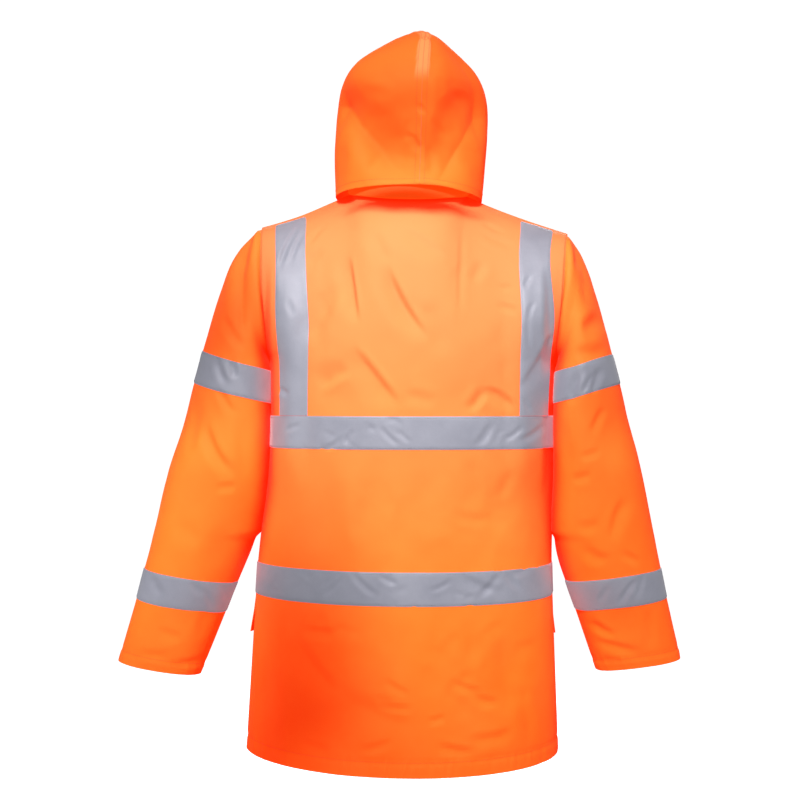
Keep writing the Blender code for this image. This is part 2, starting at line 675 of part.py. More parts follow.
def sleeve_sheets():
    points, core = sleeve_grid()
    sheets = []
    for pose in SLEEVE_POSES:
        sign = pose.sign
        flip = np.array([sign, 1.0, 1.0])
        shape = posed(points, pose)
        shape[2:] = clear_of_body(shape[2:])
        sheet = Sheet(pose.name, shape * flip, posed(core, pose) * flip, "orange_cloth")
        folds = [f._replace(start_x=sign * f.start_x, end_x=sign * f.end_x) for f in SLEEVE_FOLDS]
        sheet.sink(folds, 1)
        sheet.sink(folds[::-2], -1)
        sheets.append(sheet)
    return sheets


def sleeve_row(section):
    """The grid row at a numbered section of the sleeve's table."""
    return int(column_of(SLEEVE_RINGS, "rings")[: section + 1].sum())


def hood_half():
    """Rows from the lower edge to the top seam, columns from the face opening to the back seam."""
    station = np.cumsum(column_of(HOOD_RINGS, "rings")).astype(float)
    at = np.arange(station[-1] + 1)
    place = {
        name: smooth_through(station, column_of(HOOD_RINGS, name), at)
        for name in HoodRing._fields[1:]
    }
    power = 2 / HOOD_ROUNDNESS
    front = np.linspace(math.pi / 2, 0, HOOD_FRONT_COLUMNS + 1)
    back = np.linspace(0, math.pi / 2, HOOD_BACK_COLUMNS + 1)[1:]
    rows = []
    for k in range(len(at)):
        narrow = place["front_half_width"][k]
        spare = place["half_width"][k] - narrow
        reach = place["front"][k] + HOOD_MIDDLE_Y
        x = np.concatenate(
            [
                narrow + spare * np.cos(front) ** power,
                place["half_width"][k] * np.clip(np.cos(back), 0, 1) ** power,
            ]
        )
        y = np.concatenate(
            [
                HOOD_MIDDLE_Y - reach * np.sin(front) ** power,
                HOOD_MIDDLE_Y + (place["back"][k] - HOOD_MIDDLE_Y) * np.sin(back) ** power,
            ]
        )
        side_z, ends = place["side_z"][k], []
        ends.append(side_z + (place["front_z"][k] - side_z) * np.sin(front) ** 2)
        ends.append(side_z + (place["back_z"][k] - side_z) * np.sin(back) ** 2)
        x[-1] = 0.0
        rows.append(np.stack([x, y, np.concatenate(ends)], axis=1))
    return np.array(rows)


def hood_sheets():
    points = hood_half()
    core = points.copy()
    core[..., 0] = 0
    core[..., 1] = 0
    core[..., 2] = np.minimum(core[..., 2], HOOD_CORE_HEIGHT)
    sheets = []
    for name, sign in (("hood_left", 1), ("hood_right", -1)):
        flip = np.array([sign, 1.0, 1.0])
        sheet = Sheet(name, points * flip, core * flip, "orange_cloth")
        folds = [f._replace(start_x=sign * f.start_x, end_x=sign * f.end_x) for f in HOOD_FOLDS]
        sheet.sink(folds, 1)
        sheets.append(sheet)
    return sheets


def collar_sheet(back, front_left, front_right):
    """The neck seam's own points, carried up ring by ring."""
    seam = np.concatenate(
        [
            front_left.points[-1, : NECK_COLUMNS + 1],
            back.points[-1, HALF_COLUMNS - NECK_COLUMNS : HALF_COLUMNS + NECK_COLUMNS + 1][1:],
            front_right.points[-1, : NECK_COLUMNS + 1][::-1][1:],
        ]
    )
    outline = seam / np.array([NECK_HALF_WIDTH, NECK_BACK, 1.0])
    reach = np.hypot(outline[:, 0], outline[:, 1])
    rings = [seam]
    for row in COLLAR_RINGS:
        side = (outline[:, 0] / reach) ** 2
        ends = np.where(seam[:, 1] > 0, row.spread_back, row.spread_front) * (1 - side)
        spread = side * row.spread_side + ends
        ring = seam.copy()
        ring[:, 0] *= 1 + spread / NECK_HALF_WIDTH * side
        ring[:, 1] *= 1 + spread / NECK_BACK * (1 - side)
        ring[:, 2] += row.height
        rings.append(ring)
    points = np.array(rings)
    return Sheet("collar", points, spine_core(points), "orange_cloth")


def add_body_tapes(back, front_left, front_right, parent):
    for name, bottom in (("waist", WAIST_TAPE_BOTTOM), ("chest", CHEST_TAPE_BOTTOM)):
        rows = slice(row_at(bottom), row_at(bottom + TAPE_WIDTH) + 1)
        for sheet in (back, front_left, front_right):
            build_layer(
                f"tape_{name}_{sheet.name}", sheet.points[rows], sheet.normals[rows],
                LAYER_GAP, TAPE_THICKNESS, "reflective_tape", parent,
            )


def add_brace_tapes(back, front_left, front_right, parent):
    """Each brace tape runs from the chest tape up the back, over the shoulder and down the front."""
    start = row_at(CHEST_TAPE_BOTTOM + TAPE_WIDTH)
    width = slice(BRACE_START, BRACE_START + BRACE_COLUMNS + 1)
    for name, front, sign in (("left", front_left, 1), ("right", front_right, -1)):
        columns = slice(HALF_COLUMNS, None) if sign < 0 else slice(HALF_COLUMNS, None, -1)
        strips = []
        for attribute in ("points", "normals"):
            behind = getattr(back, attribute)[start:, columns][:, width]
            before = getattr(front, attribute)[start:, width][::-1][1:]
            strips.append(np.concatenate([behind, before]))
        build_layer(
            f"tape_brace_{name}", strips[0], strips[1],
            LAYER_GAP, TAPE_THICKNESS, "reflective_tape", parent,
        )


def add_sleeve_tapes(sleeves, parent):
    for sheet in sleeves:
        side = sheet.name.split("_")[1]
        for name, (top, bottom) in (("upper", UPPER_SLEEVE_TAPE), ("lower", LOWER_SLEEVE_TAPE)):
            rows = slice(sleeve_row(top), sleeve_row(bottom) + 1)
            build_layer(
                f"tape_{name}_sleeve_{side}", sheet.points[rows], sheet.normals[rows],
                LAYER_GAP, TAPE_THICKNESS, "reflective_tape", parent,
            )


def add_pockets(fronts, parent):
    """A flat patch pocket and its flap on each front. The flap hangs free over the pocket's top."""
    columns = slice(POCKET_SPAN[0], POCKET_SPAN[1] + 1)
    patch = slice(row_at(POCKET_BOTTOM), row_at(POCKET_TOP) + 1)
    cover = slice(row_at(FLAP_BOTTOM), row_at(WAIST_TAPE_BOTTOM) + 1)
    for sheet in fronts:
        side = sheet.name.split("_")[1]
        build_layer(
            f"pocket_{side}", sheet.points[patch, columns], sheet.normals[patch, columns],
            LAYER_GAP, POCKET_THICKNESS, "orange_cloth", parent,
        )
        rows = cover.stop - cover.start
        fall = np.linspace(1, 0, rows)[:, None]
        outward = np.linspace(0, 1, POCKET_SPAN[1] - POCKET_SPAN[0] + 1)[None, :]
        clear = LAYER_GAP * 2 + POCKET_THICKNESS
        lift = LAYER_GAP + (clear + FLAP_EASE + FLAP_CORNER_LIFT * outward**2) * fall
        build_layer(
            f"pocket_flap_{side}", sheet.points[cover, columns], sheet.normals[cover, columns],
            lift, POCKET_THICKNESS, "orange_cloth", parent,
        )


def middle_front_line(collar, front_left):
    """The line down the middle of the front, level with the cloth, from hem to collar top."""
    line = np.concatenate([front_left.points[:, 0], collar.points[1:, 0]])
    normals = np.concatenate([front_left.normals[:, 0], collar.normals[1:, 0]])
    line[:, 0], normals[:, 0] = 0.0, 0.0
    normals /= np.linalg.norm(normals, axis=1, keepdims=True)
    return line, normals


def add_zip(collar, front_left, parent):
    line, normals = middle_front_line(collar, front_left)
    behind = SHELL_THICKNESS + LAYER_GAP
    for side, sign in (("left", 1), ("right", -1)):
        reach = np.array([SEAM_GAP, ZIP_TAPE_WIDTH / 2, ZIP_TAPE_WIDTH]) * sign
        strip = np.repeat(line[:, None], 3, axis=1)
        strip[..., 0] += reach
        # the tape follows the inside of the front, which curves back from the middle
        edge = np.concatenate([front_left.points[:, 1], collar.points[1:, 1]])
        slope = (edge[:, 1] - line[:, 1]) / edge[:, 0]
        strip[..., 1] += np.maximum(slope, 0)[:, None] * np.abs(reach)
        across = np.repeat(normals[:, None], 3, axis=1)
        build_layer(
            f"zip_tape_{side}", strip, across, -behind - TAPE_THICKNESS, TAPE_THICKNESS,
            "zip_cloth", parent,
        )
    half = CHAIN_HALF_WIDTH
    chain = np.repeat(line[:, None], 3, axis=1)
    chain[..., 0] += np.array([-half, 0, half])
    across = np.repeat(normals[:, None], 3, axis=1)
    build_layer(
        "zip_chain", chain, across, LAYER_GAP - behind, CHAIN_PROUD + behind - LAYER_GAP,
        "zip_metal", parent,
    )
    reach = np.linspace(-0.5, 0.5, 9) * SLIDER_LENGTH
    frontmost = np.interp(SLIDER_HEIGHT + reach, line[:, 2], line[:, 1]).min()
    return float(frontmost) - CHAIN_PROUD - LAYER_GAP


def box_mesh(size, centre, bevel=0.0):
    bm = bmesh.new()
    bmesh.ops.create_cube(bm, size=1.0)
    for vert in bm.verts:
        vert.co = [c + s * v for c, s, v in zip(centre, size, vert.co)]
    if bevel:
        bmesh.ops.bevel(bm, geom=bm.edges[:], offset=bevel, segments=1, affect="EDGES")
    return bm


def add_helper(name, size, centre):
    """A hidden box that a Boolean uses."""
    obj = add_object(name, box_mesh(size, centre), "zip_metal", None)
    obj.hide_render = True
    obj.display_type = "WIRE"
    return obj


def add_boolean(obj, helper, operation):
    modifier = obj.modifiers.new(operation.title(), "BOOLEAN")
    modifier.object, modifier.operation, modifier.solver = helper, operation, "EXACT"
    helper.parent = obj


def add_slider_and_pull(back_face, parent):
    """The slider's front plate with its bridge, and the pull tab whose crossbar turns in it."""
    pivot_depth = SLIDER_PLATE + BRIDGE_HOLE_DEPTH / 2
    pivot = (-LEAN * SLIDER_HEIGHT, back_face - pivot_depth, SLIDER_HEIGHT)
    plate_y = pivot_depth - SLIDER_PLATE / 2
    slider = add_object(
        "zip_slider",
        box_mesh((SLIDER_WIDTH, SLIDER_PLATE, SLIDER_LENGTH), (0, plate_y, 0), PULL_BEVEL),
        "zip_metal",
        parent,
    )
    slider.location = pivot
    rise = BRIDGE_HOLE_DEPTH + BRIDGE_BAR + BRIDGE_SINK
    centre_y = pivot_depth - SLIDER_PLATE + BRIDGE_SINK - rise / 2
    arch = (BRIDGE_WIDTH, rise, BRIDGE_HOLE_HEIGHT + 2 * BRIDGE_BAR)
    add_boolean(slider, add_helper("bridge_block", arch, (0, centre_y, 0)), "UNION")
    hole = (BRIDGE_WIDTH * 2, BRIDGE_HOLE_DEPTH, BRIDGE_HOLE_HEIGHT)
    add_boolean(slider, add_helper("bridge_hole", hole, (0, 0, 0)), "DIFFERENCE")

    bar = PULL_THICKNESS / 2
    length = PULL_LENGTH + bar
    pull = add_object(
        "zip_pull",
        box_mesh((PULL_WIDTH, PULL_THICKNESS, length), (0, 0, bar - length / 2), PULL_BEVEL / 2),
        "zip_metal",
        parent,
    )
    pull.location = pivot
    window = (PULL_WINDOW_WIDTH, PULL_THICKNESS * 3, PULL_WINDOW_LENGTH)
    place = (0, 0, -bar - PULL_WINDOW_LENGTH / 2)
    add_boolean(pull, add_helper("pull_window", window, place), "DIFFERENCE")


def clear_scene():
    for obj in list(bpy.data.objects):
        bpy.data.objects.remove(obj)


def main():
    clear_scene()
    jacket = bpy.data.objects.new("jacket", None)
    bpy.context.scene.collection.objects.link(jacket)
    back, front_left, front_right = body_sheets()
    sleeves, hood = sleeve_sheets(), hood_sheets()
    collar = collar_sheet(back, front_left, front_right)
    sewn = [back, front_left, front_right, collar, *sleeves]
    sew_normals(sewn)
    sew_normals(hood)
    for sheet in (*sewn, *hood):
        build_sheet(sheet, jacket)
    add_body_tapes(back, front_left, front_right, jacket)
    add_brace_tapes(back, front_left, front_right, jacket)
    add_sleeve_tapes(sleeves, jacket)
    add_pockets((front_left, front_right), jacket)
    back_face = add_zip(collar, front_left, jacket)
    add_slider_and_pull(back_face, jacket)


main()
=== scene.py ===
import math
import random
from collections import namedtuple

import bmesh
import bpy
import numpy as np
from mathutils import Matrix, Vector, noise
from mathutils.bvhtree import BVHTree


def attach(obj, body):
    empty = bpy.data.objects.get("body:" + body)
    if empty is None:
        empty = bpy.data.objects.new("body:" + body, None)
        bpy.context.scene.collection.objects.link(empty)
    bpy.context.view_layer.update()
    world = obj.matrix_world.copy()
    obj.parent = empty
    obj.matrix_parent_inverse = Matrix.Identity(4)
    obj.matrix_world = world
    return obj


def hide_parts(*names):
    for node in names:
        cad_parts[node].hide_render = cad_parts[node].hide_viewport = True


# Hooded hi-vis work jacket, filled out as worn. Metres, +Z up, the wearer faces -Y, +X is their left.

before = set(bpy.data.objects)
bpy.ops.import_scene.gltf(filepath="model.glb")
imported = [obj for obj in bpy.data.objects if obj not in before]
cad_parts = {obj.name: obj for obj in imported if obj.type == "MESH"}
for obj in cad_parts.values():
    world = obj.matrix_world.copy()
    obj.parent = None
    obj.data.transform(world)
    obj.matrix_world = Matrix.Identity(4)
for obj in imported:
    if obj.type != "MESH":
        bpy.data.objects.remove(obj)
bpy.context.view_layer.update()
print("frame loaded:", len(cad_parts), "nodes")

sides = ("left", "right")
shot = {"place": (-0.1064, 2.2976, -0.326), "turn": 183.0, "lens": 64.94, "sensor": 36.0}
studio = {
    "floorHeight": -1.38,
    "floorRadius": 5.0,
    "wallHeight": 6.0,
    "sweep": 1.2,
    "sweepSteps": 10,
    "paperGlow": 1.0,
    "roomLight": 0.085,
    "spotSoftness": 0.22,
}
lamps = {  # kind, place, what it points at, size or beam angle, watts, colour
    "keyLamp": ("SPOT", (0.22, 2.05, 1.30), (-0.04, 0.1, -0.30), 29.5, 314.0, (1.0, 0.98, 0.95)),
    "sideLamp": ("SPOT", (1.3, 2.2, -0.1), (0.43, 0.0, -0.59), 9.5, 225.0, (1.0, 0.98, 0.96)),
    "cuffLamp": ("SPOT", (-1.1, 2.2, -0.2), (-0.36, 0.0, -0.64), 7.0, 130.0, (1.0, 0.98, 0.96)),
    "frontLamp": ("AREA", (0.0, -3.0, 0.9), (0.0, 0.0, -0.35), 1.2, 75.0, (1.0, 1.0, 1.0)),
}
# flags that shade the key lamp's light: how deep the shaded spots lie, how far each board stands
# towards the lamp, and its corners as spots on the jacket (x, z)
flags = {
    "flagSkirt": (0.08, 0.36, ((0.03, -1.00), (0.31, -1.00), (0.135, -0.56), (0.31, -0.56))),
    "flagSleeve": (0.06, 0.32, ((0.250, -0.32), (0.37, -0.32), (0.250, -0.13), (0.35, -0.13))),
    "flagElbow": (0.04, 0.44, ((-0.45, -0.56), (-0.29, -0.56), (-0.41, -0.32), (-0.27, -0.32))),
    "flagHood": (0.10, 0.36, ((-0.06, 0.09), (0.08, 0.09), (-0.06, 0.22), (0.10, 0.22))),
    "flagCollar": (0.09, 0.045, ((-0.042, -0.041), (0.024, -0.041), (-0.125, -0.006), (0.110, -0.006))),
}


def nothingSelected():
    if bpy.context.object and bpy.context.object.mode != "OBJECT":
        bpy.ops.object.mode_set(mode="OBJECT")
    bpy.ops.object.select_all(action="DESELECT")


def onlySelected(obj):
    nothingSelected()
    obj.select_set(True)
    bpy.context.view_layer.objects.active = obj


def intoScene(name, data):
    obj = bpy.data.objects.new(name, data)
    bpy.context.scene.collection.objects.link(obj)
    return obj


def newMaterial(name):
    material = bpy.data.materials.new(name)
    material.use_nodes = True
    return material, material.node_tree, material.node_tree.nodes["Principled BSDF"]


def fillInputs(tree, node, inputs):
    # plain values are set, other nodes' sockets are linked
    for key, value in inputs.items():
        if isinstance(value, bpy.types.NodeSocket):
            tree.links.new(value, node.inputs[key])
        else:
            node.inputs[key].default_value = value


def makeCamera():
    nothingSelected()
    bpy.ops.object.camera_add(
        location=shot["place"], rotation=(math.radians(90), 0, math.radians(shot["turn"]))
    )
    camera = bpy.context.object
    camera.name = "shotCamera"
    camera.data.sensor_width = shot["sensor"]
    camera.data.lens = shot["lens"]
    bpy.context.scene.camera = camera


def makePaper():
    # a paper sweep all round: a disc of floor that turns up into a wall
    nothingSelected()
    bpy.ops.mesh.primitive_circle_add(
        vertices=72, radius=studio["floorRadius"], fill_type="NGON", location=(0, 0, studio["floorHeight"])
    )
    paper = bpy.context.object
    paper.name = "paperSweep"
    bpy.ops.object.transform_apply(location=True)
    bpy.ops.object.mode_set(mode="EDIT")
    bpy.ops.mesh.select_all(action="SELECT")
    steps, radius = studio["sweepSteps"], studio["floorRadius"]
    quarter = math.pi / 2 / steps
    for k in range(steps + 1):
        angle, run = (k + 0.5) / steps * math.pi / 2, studio["sweep"] * quarter
        out, up = (run * math.cos(angle), run * math.sin(angle)) if k < steps else (0, studio["wallHeight"])
        grown = (radius + out) / radius
        bpy.ops.mesh.extrude_region_move(TRANSFORM_OT_translate={"value": (0, 0, up)})
        bpy.ops.transform.resize(value=(grown, grown, 1), center_override=(0, 0, 0))
        radius += out
    bpy.ops.mesh.delete(type="ONLY_FACE")  # the lid that the extrusion carried up
    bpy.ops.mesh.select_all(action="SELECT")
    bpy.ops.mesh.normals_make_consistent(inside=False)
    bpy.ops.object.mode_set(mode="OBJECT")
    bpy.ops.object.shade_smooth()
    material, tree, shader = newMaterial("paper")
    white = (1, 1, 1, 1)
    fillInputs(tree, shader, {
        "Base Color": white, "Roughness": 0.9, "Specular IOR Level": 0.1,
        "Emission Color": white, "Emission Strength": studio["paperGlow"],
    })
    paper.data.materials.append(material)
    paper.visible_diffuse = paper.visible_glossy = False  # the paper stays out of the cloth's light
    return material


def makeLamps():
    for name, (kind, place, aim, size, watts, colour) in lamps.items():
        nothingSelected()
        bpy.ops.object.light_add(type=kind, location=place)
        lamp = bpy.context.object
        lamp.name = name
        lamp.rotation_euler = (Vector(aim) - Vector(place)).to_track_quat("-Z", "Y").to_euler()
        if kind == "SPOT":
            lamp.data.spot_size, lamp.data.spot_blend = math.radians(size), 1.0
            lamp.data.shadow_soft_size = studio["spotSoftness"]
        else:
            lamp.data.size = size
        lamp.data.energy, lamp.data.color = watts, colour
    world = bpy.data.worlds.new("room")
    world.use_nodes = True
    sky = world.node_tree.nodes["Background"]
    fillInputs(world.node_tree, sky, {"Color": (1, 1, 1, 1), "Strength": studio["roomLight"]})
    bpy.context.scene.world = world
    bpy.context.scene.view_settings.view_transform = "Standard"
    bpy.context.scene.view_settings.look = "None"


def makeFlags(material):
    lamp = Vector(lamps["keyLamp"][1])
    for name, (depth, towardLamp, corners) in flags.items():
        nothingSelected()
        bpy.ops.mesh.primitive_plane_add(size=1, location=(0, 0, 0))
        board = bpy.context.object
        board.name = name
        for vert, (x, z) in zip(board.data.vertices, corners):
            vert.co = Vector((x, depth, z)).lerp(lamp, towardLamp)
        board.data.materials.append(material)
        board.visible_camera = board.visible_diffuse = board.visible_glossy = False


makeCamera()
paperMaterial = makePaper()
makeLamps()
makeFlags(paperMaterial)
print("stage and lamps set")

orange = {
    "colour": (0.94, 0.39, 0.040),
    "deep": (0.92, 0.35, 0.028),
    # painted light: the paler, bluer colour the cloth takes high up, where the lamp falls strongest
    "paintedLight": (0.95, 0.38, 0.125),
    "paintedLightFrom": -0.75,
    "paintedLightTo": -0.05,
    "doubled": (0.98, 0.62, 0.20),  # paler colour on the doubled band along the hood's middle seam
    # painted shade: the deep red that hollows near other cloth are coloured
    "paintedShade": (0.66, 0.022, 0.003),
    "paintedShadeReach": 0.045,  # how near another layer must be to count
    "paintedShadeRange": (0.20, 0.88),
    # painted glow: a constant red emission, partly the cloth's own fluorescence and partly painted light that
    # keeps its shaded parts bright red
    "paintedGlow": (1.0, 0.014, 0.0),
    "paintedGlowStrength": 0.86,
    "threads": 1100.0,  # threads per metre
    "threadShade": (0.72, 0.66, 0.6),
    "threadShare": 0.16,
    "crumpleBump": (0.16, 0.0012),  # strength, height
    "threadBump": (0.35, 0.00025),
    "roughness": 0.70,
    "sheen": 0.10,
    "sheenTint": (1.0, 0.72, 0.45),
}
silver = {
    "colour": (0.325, 0.330, 0.395),
    "dark": (0.250, 0.255, 0.315),
    "paintedGlow": (0.150, 0.152, 0.182),  # painted reflection: constant emission for the light sent back by the beads
    "beads": 2600.0,  # glass beads per metre
    "beadShade": (0.55, 0.55, 0.6),
    "beadShare": 0.22,
    "crackleBump": (0.18, 0.001),
    "beadBump": (0.3, 0.0001),
    "roughness": 0.50,
    "metallic": 0.10,
}


def addNode(tree, kind, inputs, **settings):
    node = tree.nodes.new(kind)
    for key, value in settings.items():
        setattr(node, key, value)
    fillInputs(tree, node, inputs)
    return node


def objectPlace(tree):
    return addNode(tree, "ShaderNodeTexCoord", {}).outputs["Object"]


def clothPlace(tree):
    # in metres along and across the cloth
    return addNode(tree, "ShaderNodeUVMap", {}, uv_map="cloth").outputs["UV"]


def cloudy(tree, place, scale, detail, roughness=0.5):
    inputs = {"Vector": place, "Scale": scale, "Detail": detail, "Roughness": roughness}
    return addNode(tree, "ShaderNodeTexNoise", inputs).outputs["Fac"]


def colourRamp(tree, factor, low, high, start=0.35, end=0.65):
    ramp = addNode(tree, "ShaderNodeValToRGB", {"Fac": factor})
    for element, spot, colour in zip(ramp.color_ramp.elements, (start, end), (low, high)):
        element.position, element.color = spot, (*colour, 1)
    return ramp.outputs["Color"]


def mapRange(tree, value, low, high, ends=("From Min", "From Max"), **settings):
    inputs = {"Value": value, ends[0]: low, ends[1]: high}
    return addNode(tree, "ShaderNodeMapRange", inputs, **settings).outputs["Result"]


def mixed(tree, factor, first, second, blend="MIX"):
    inputs = {"Factor": factor, "A": first, "B": second}
    return addNode(tree, "ShaderNodeMix", inputs, data_type="RGBA", blend_type=blend).outputs["Result"]


def bumped(tree, height, strength, distance, under=None):
    inputs = {"Height": height, "Strength": strength, "Distance": distance}
    if under:
        inputs["Normal"] = under
    return addNode(tree, "ShaderNodeBump", inputs).outputs["Normal"]


def roughened(tree, cloud, roughness, less, more):
    return mapRange(tree, cloud, roughness - less, roughness + more, ("To Min", "To Max"))


def weaveHeight(tree, uv, threads):
    # plain weave: warp and weft waves that take turns on top
    scale = threads * math.pi / 10.0  # a wave texture turns 20 radians a unit
    scaled = addNode(tree, "ShaderNodeVectorMath", {0: uv, "Scale": scale}, operation="SCALE")
    both = addNode(tree, "ShaderNodeMath", {}, operation="MULTIPLY")
    wave = {"Vector": scaled.outputs["Vector"], "Scale": 1.0, "Distortion": 0.4, "Detail": 0.0}
    for slot, way in enumerate("XY"):
        bands = addNode(tree, "ShaderNodeTexWave", wave, wave_type="BANDS", bands_direction=way)
        fillInputs(tree, both, {slot: bands.outputs["Fac"]})
    return both.outputs["Value"]


def clothMaterial(name, look):
    material, tree, shader = newMaterial(name)
    uv, place = clothPlace(tree), objectPlace(tree)
    cloud = cloudy(tree, place, 9.0, 3.0, 0.55)
    tone = colourRamp(tree, cloud, look["deep"], look["colour"])
    # painted light: the cloth turns paler and bluer over the shoulders than low down, standing in for the key
    # lamp's stronger light and sheen up there
    height = addNode(tree, "ShaderNodeSeparateXYZ", {"Vector": place}).outputs["Z"]
    high = mapRange(tree, height, look["paintedLightFrom"], look["paintedLightTo"], interpolation_type="SMOOTHSTEP")
    tone = mixed(tree, high, tone, (*look["paintedLight"], 1))
    double = addNode(tree, "ShaderNodeAttribute", {}, attribute_name="doubled").outputs["Fac"]
    tone = mixed(tree, double, tone, (*look["doubled"], 1))
    # painted shade: where other cloth is near, the colour is mixed towards a deep red, standing in for shade
    # and red light bouncing in hollows between layers of bright cloth
    near = addNode(tree, "ShaderNodeAmbientOcclusion", {"Distance": look["paintedShadeReach"]}, samples=6)
    apart = mapRange(tree, near.outputs["AO"], *look["paintedShadeRange"])
    tone = mixed(tree, apart, (*look["paintedShade"], 1), tone)
    weave = weaveHeight(tree, uv, look["threads"])
    shade = colourRamp(tree, weave, look["threadShade"], (1, 1, 1), 0.05, 0.6)
    soft = bumped(tree, cloudy(tree, place, 70.0, 4.0, 0.6), *look["crumpleBump"])
    fillInputs(tree, shader, {
        "Base Color": mixed(tree, look["threadShare"], tone, shade, "MULTIPLY"),
        "Normal": bumped(tree, weave, *look["threadBump"], soft),
        "Roughness": roughened(tree, cloud, look["roughness"], 0.06, 0.08),
        "Specular IOR Level": 0.30,
        "Sheen Weight": look["sheen"],
        "Sheen Roughness": 0.45,
        "Sheen Tint": (*look["sheenTint"], 1),
        # painted glow: emission that stays the same in light and in shade
        "Emission Color": (*look["paintedGlow"], 1),
        "Emission Strength": look["paintedGlowStrength"],
    })
    return material


def tapeMaterial(name, look):
    material, tree, shader = newMaterial(name)
    uv, place = clothPlace(tree), objectPlace(tree)
    voronoi = addNode(tree, "ShaderNodeTexVoronoi", {"Vector": uv, "Scale": look["beads"] / 2})
    beads = voronoi.outputs["Distance"]
    patches = cloudy(tree, place, 16.0, 5.0, 0.6)
    tone = colourRamp(tree, patches, look["dark"], look["colour"], 0.3, 0.6)
    grains = colourRamp(tree, beads, (1, 1, 1), look["beadShade"], 0.2, 0.9)
    soft = bumped(tree, cloudy(tree, place, 120.0, 4.0, 0.65), *look["crackleBump"])
    fillInputs(tree, shader, {
        "Base Color": mixed(tree, look["beadShare"], tone, grains, "MULTIPLY"),
        "Normal": bumped(tree, beads, *look["beadBump"], soft),
        "Roughness": roughened(tree, patches, look["roughness"], 0.05, 0.12),
        "Metallic": look["metallic"],
        # painted reflection: the beads' returned light, given as emission
        "Emission Color": (*look["paintedGlow"], 1),
        "Emission Strength": 1.0,
        "Sheen Weight": 0.3,
        "Sheen Roughness": 0.4,
    })
    return material


def plainMaterial(name, colour, shade, grain, detail):
    # a colour between a shade of itself and itself, in fine grains
    material, tree, shader = newMaterial(name)
    cloud = cloudy(tree, objectPlace(tree), grain, detail)
    low = tuple(shade * c for c in colour)
    fillInputs(tree, shader, {"Base Color": colourRamp(tree, cloud, low, colour)})
    return material, tree, shader, cloud


def threadMaterial(name, colour):
    material, tree, shader, twist = plainMaterial(name, colour, 0.75, 900.0, 2.0)
    fillInputs(tree, shader, {"Roughness": 0.55, "Sheen Weight": 0.2})
    return material


def metalMaterial(name, colour, roughness):
    material, tree, shader, wear = plainMaterial(name, colour, 0.6, 420.0, 4.0)
    fillInputs(tree, shader, {"Roughness": roughened(tree, wear, roughness, 0.08, 0.15), "Metallic": 0.9})
    return material


# painted shade: the collar's cloth coloured darker and redder, as if in the hood's shadow, with a greener
# painted glow that lightens its shaded parts and a shorter reach for its painted shade
paintedShadeRed = {"colour": (0.84, 0.105, 0.014), "deep": (0.82, 0.095, 0.012), "paintedLight": (0.84, 0.105, 0.014)}
looks = {
    "orangeCloth": clothMaterial("orangeCloth", orange),
    # the hood and sleeve copies differ only in a weaker painted highlight high up
    "hoodCloth": clothMaterial("hoodCloth", {**orange, "paintedLight": (0.94, 0.36, 0.042)}),
    "sleeveCloth": clothMaterial("sleeveCloth", {**orange, "paintedLight": (0.94, 0.37, 0.055)}),
    "collarShadedCloth": clothMaterial(
        "collarShadedCloth", {**orange, **paintedShadeRed, "paintedShadeReach": 0.006, "paintedGlow": (1.0, 0.060, 0.002)}
    ),
    "silverTape": tapeMaterial("silverTape", silver),
    "zipCloth": clothMaterial("zipCloth", {**orange, "threads": 900.0, "sheen": 0.3}),
    "orangeThread": threadMaterial("orangeThread", (0.95, 0.21, 0.02)),
    "greyThread": threadMaterial("greyThread", (0.46, 0.46, 0.54)),
    "zipMetal": metalMaterial("zipMetal", (0.34, 0.34, 0.36), 0.34),
    "zipPlastic": threadMaterial("zipPlastic", (0.88, 0.19, 0.02)),
}
print("materials made:", ", ".join(looks))

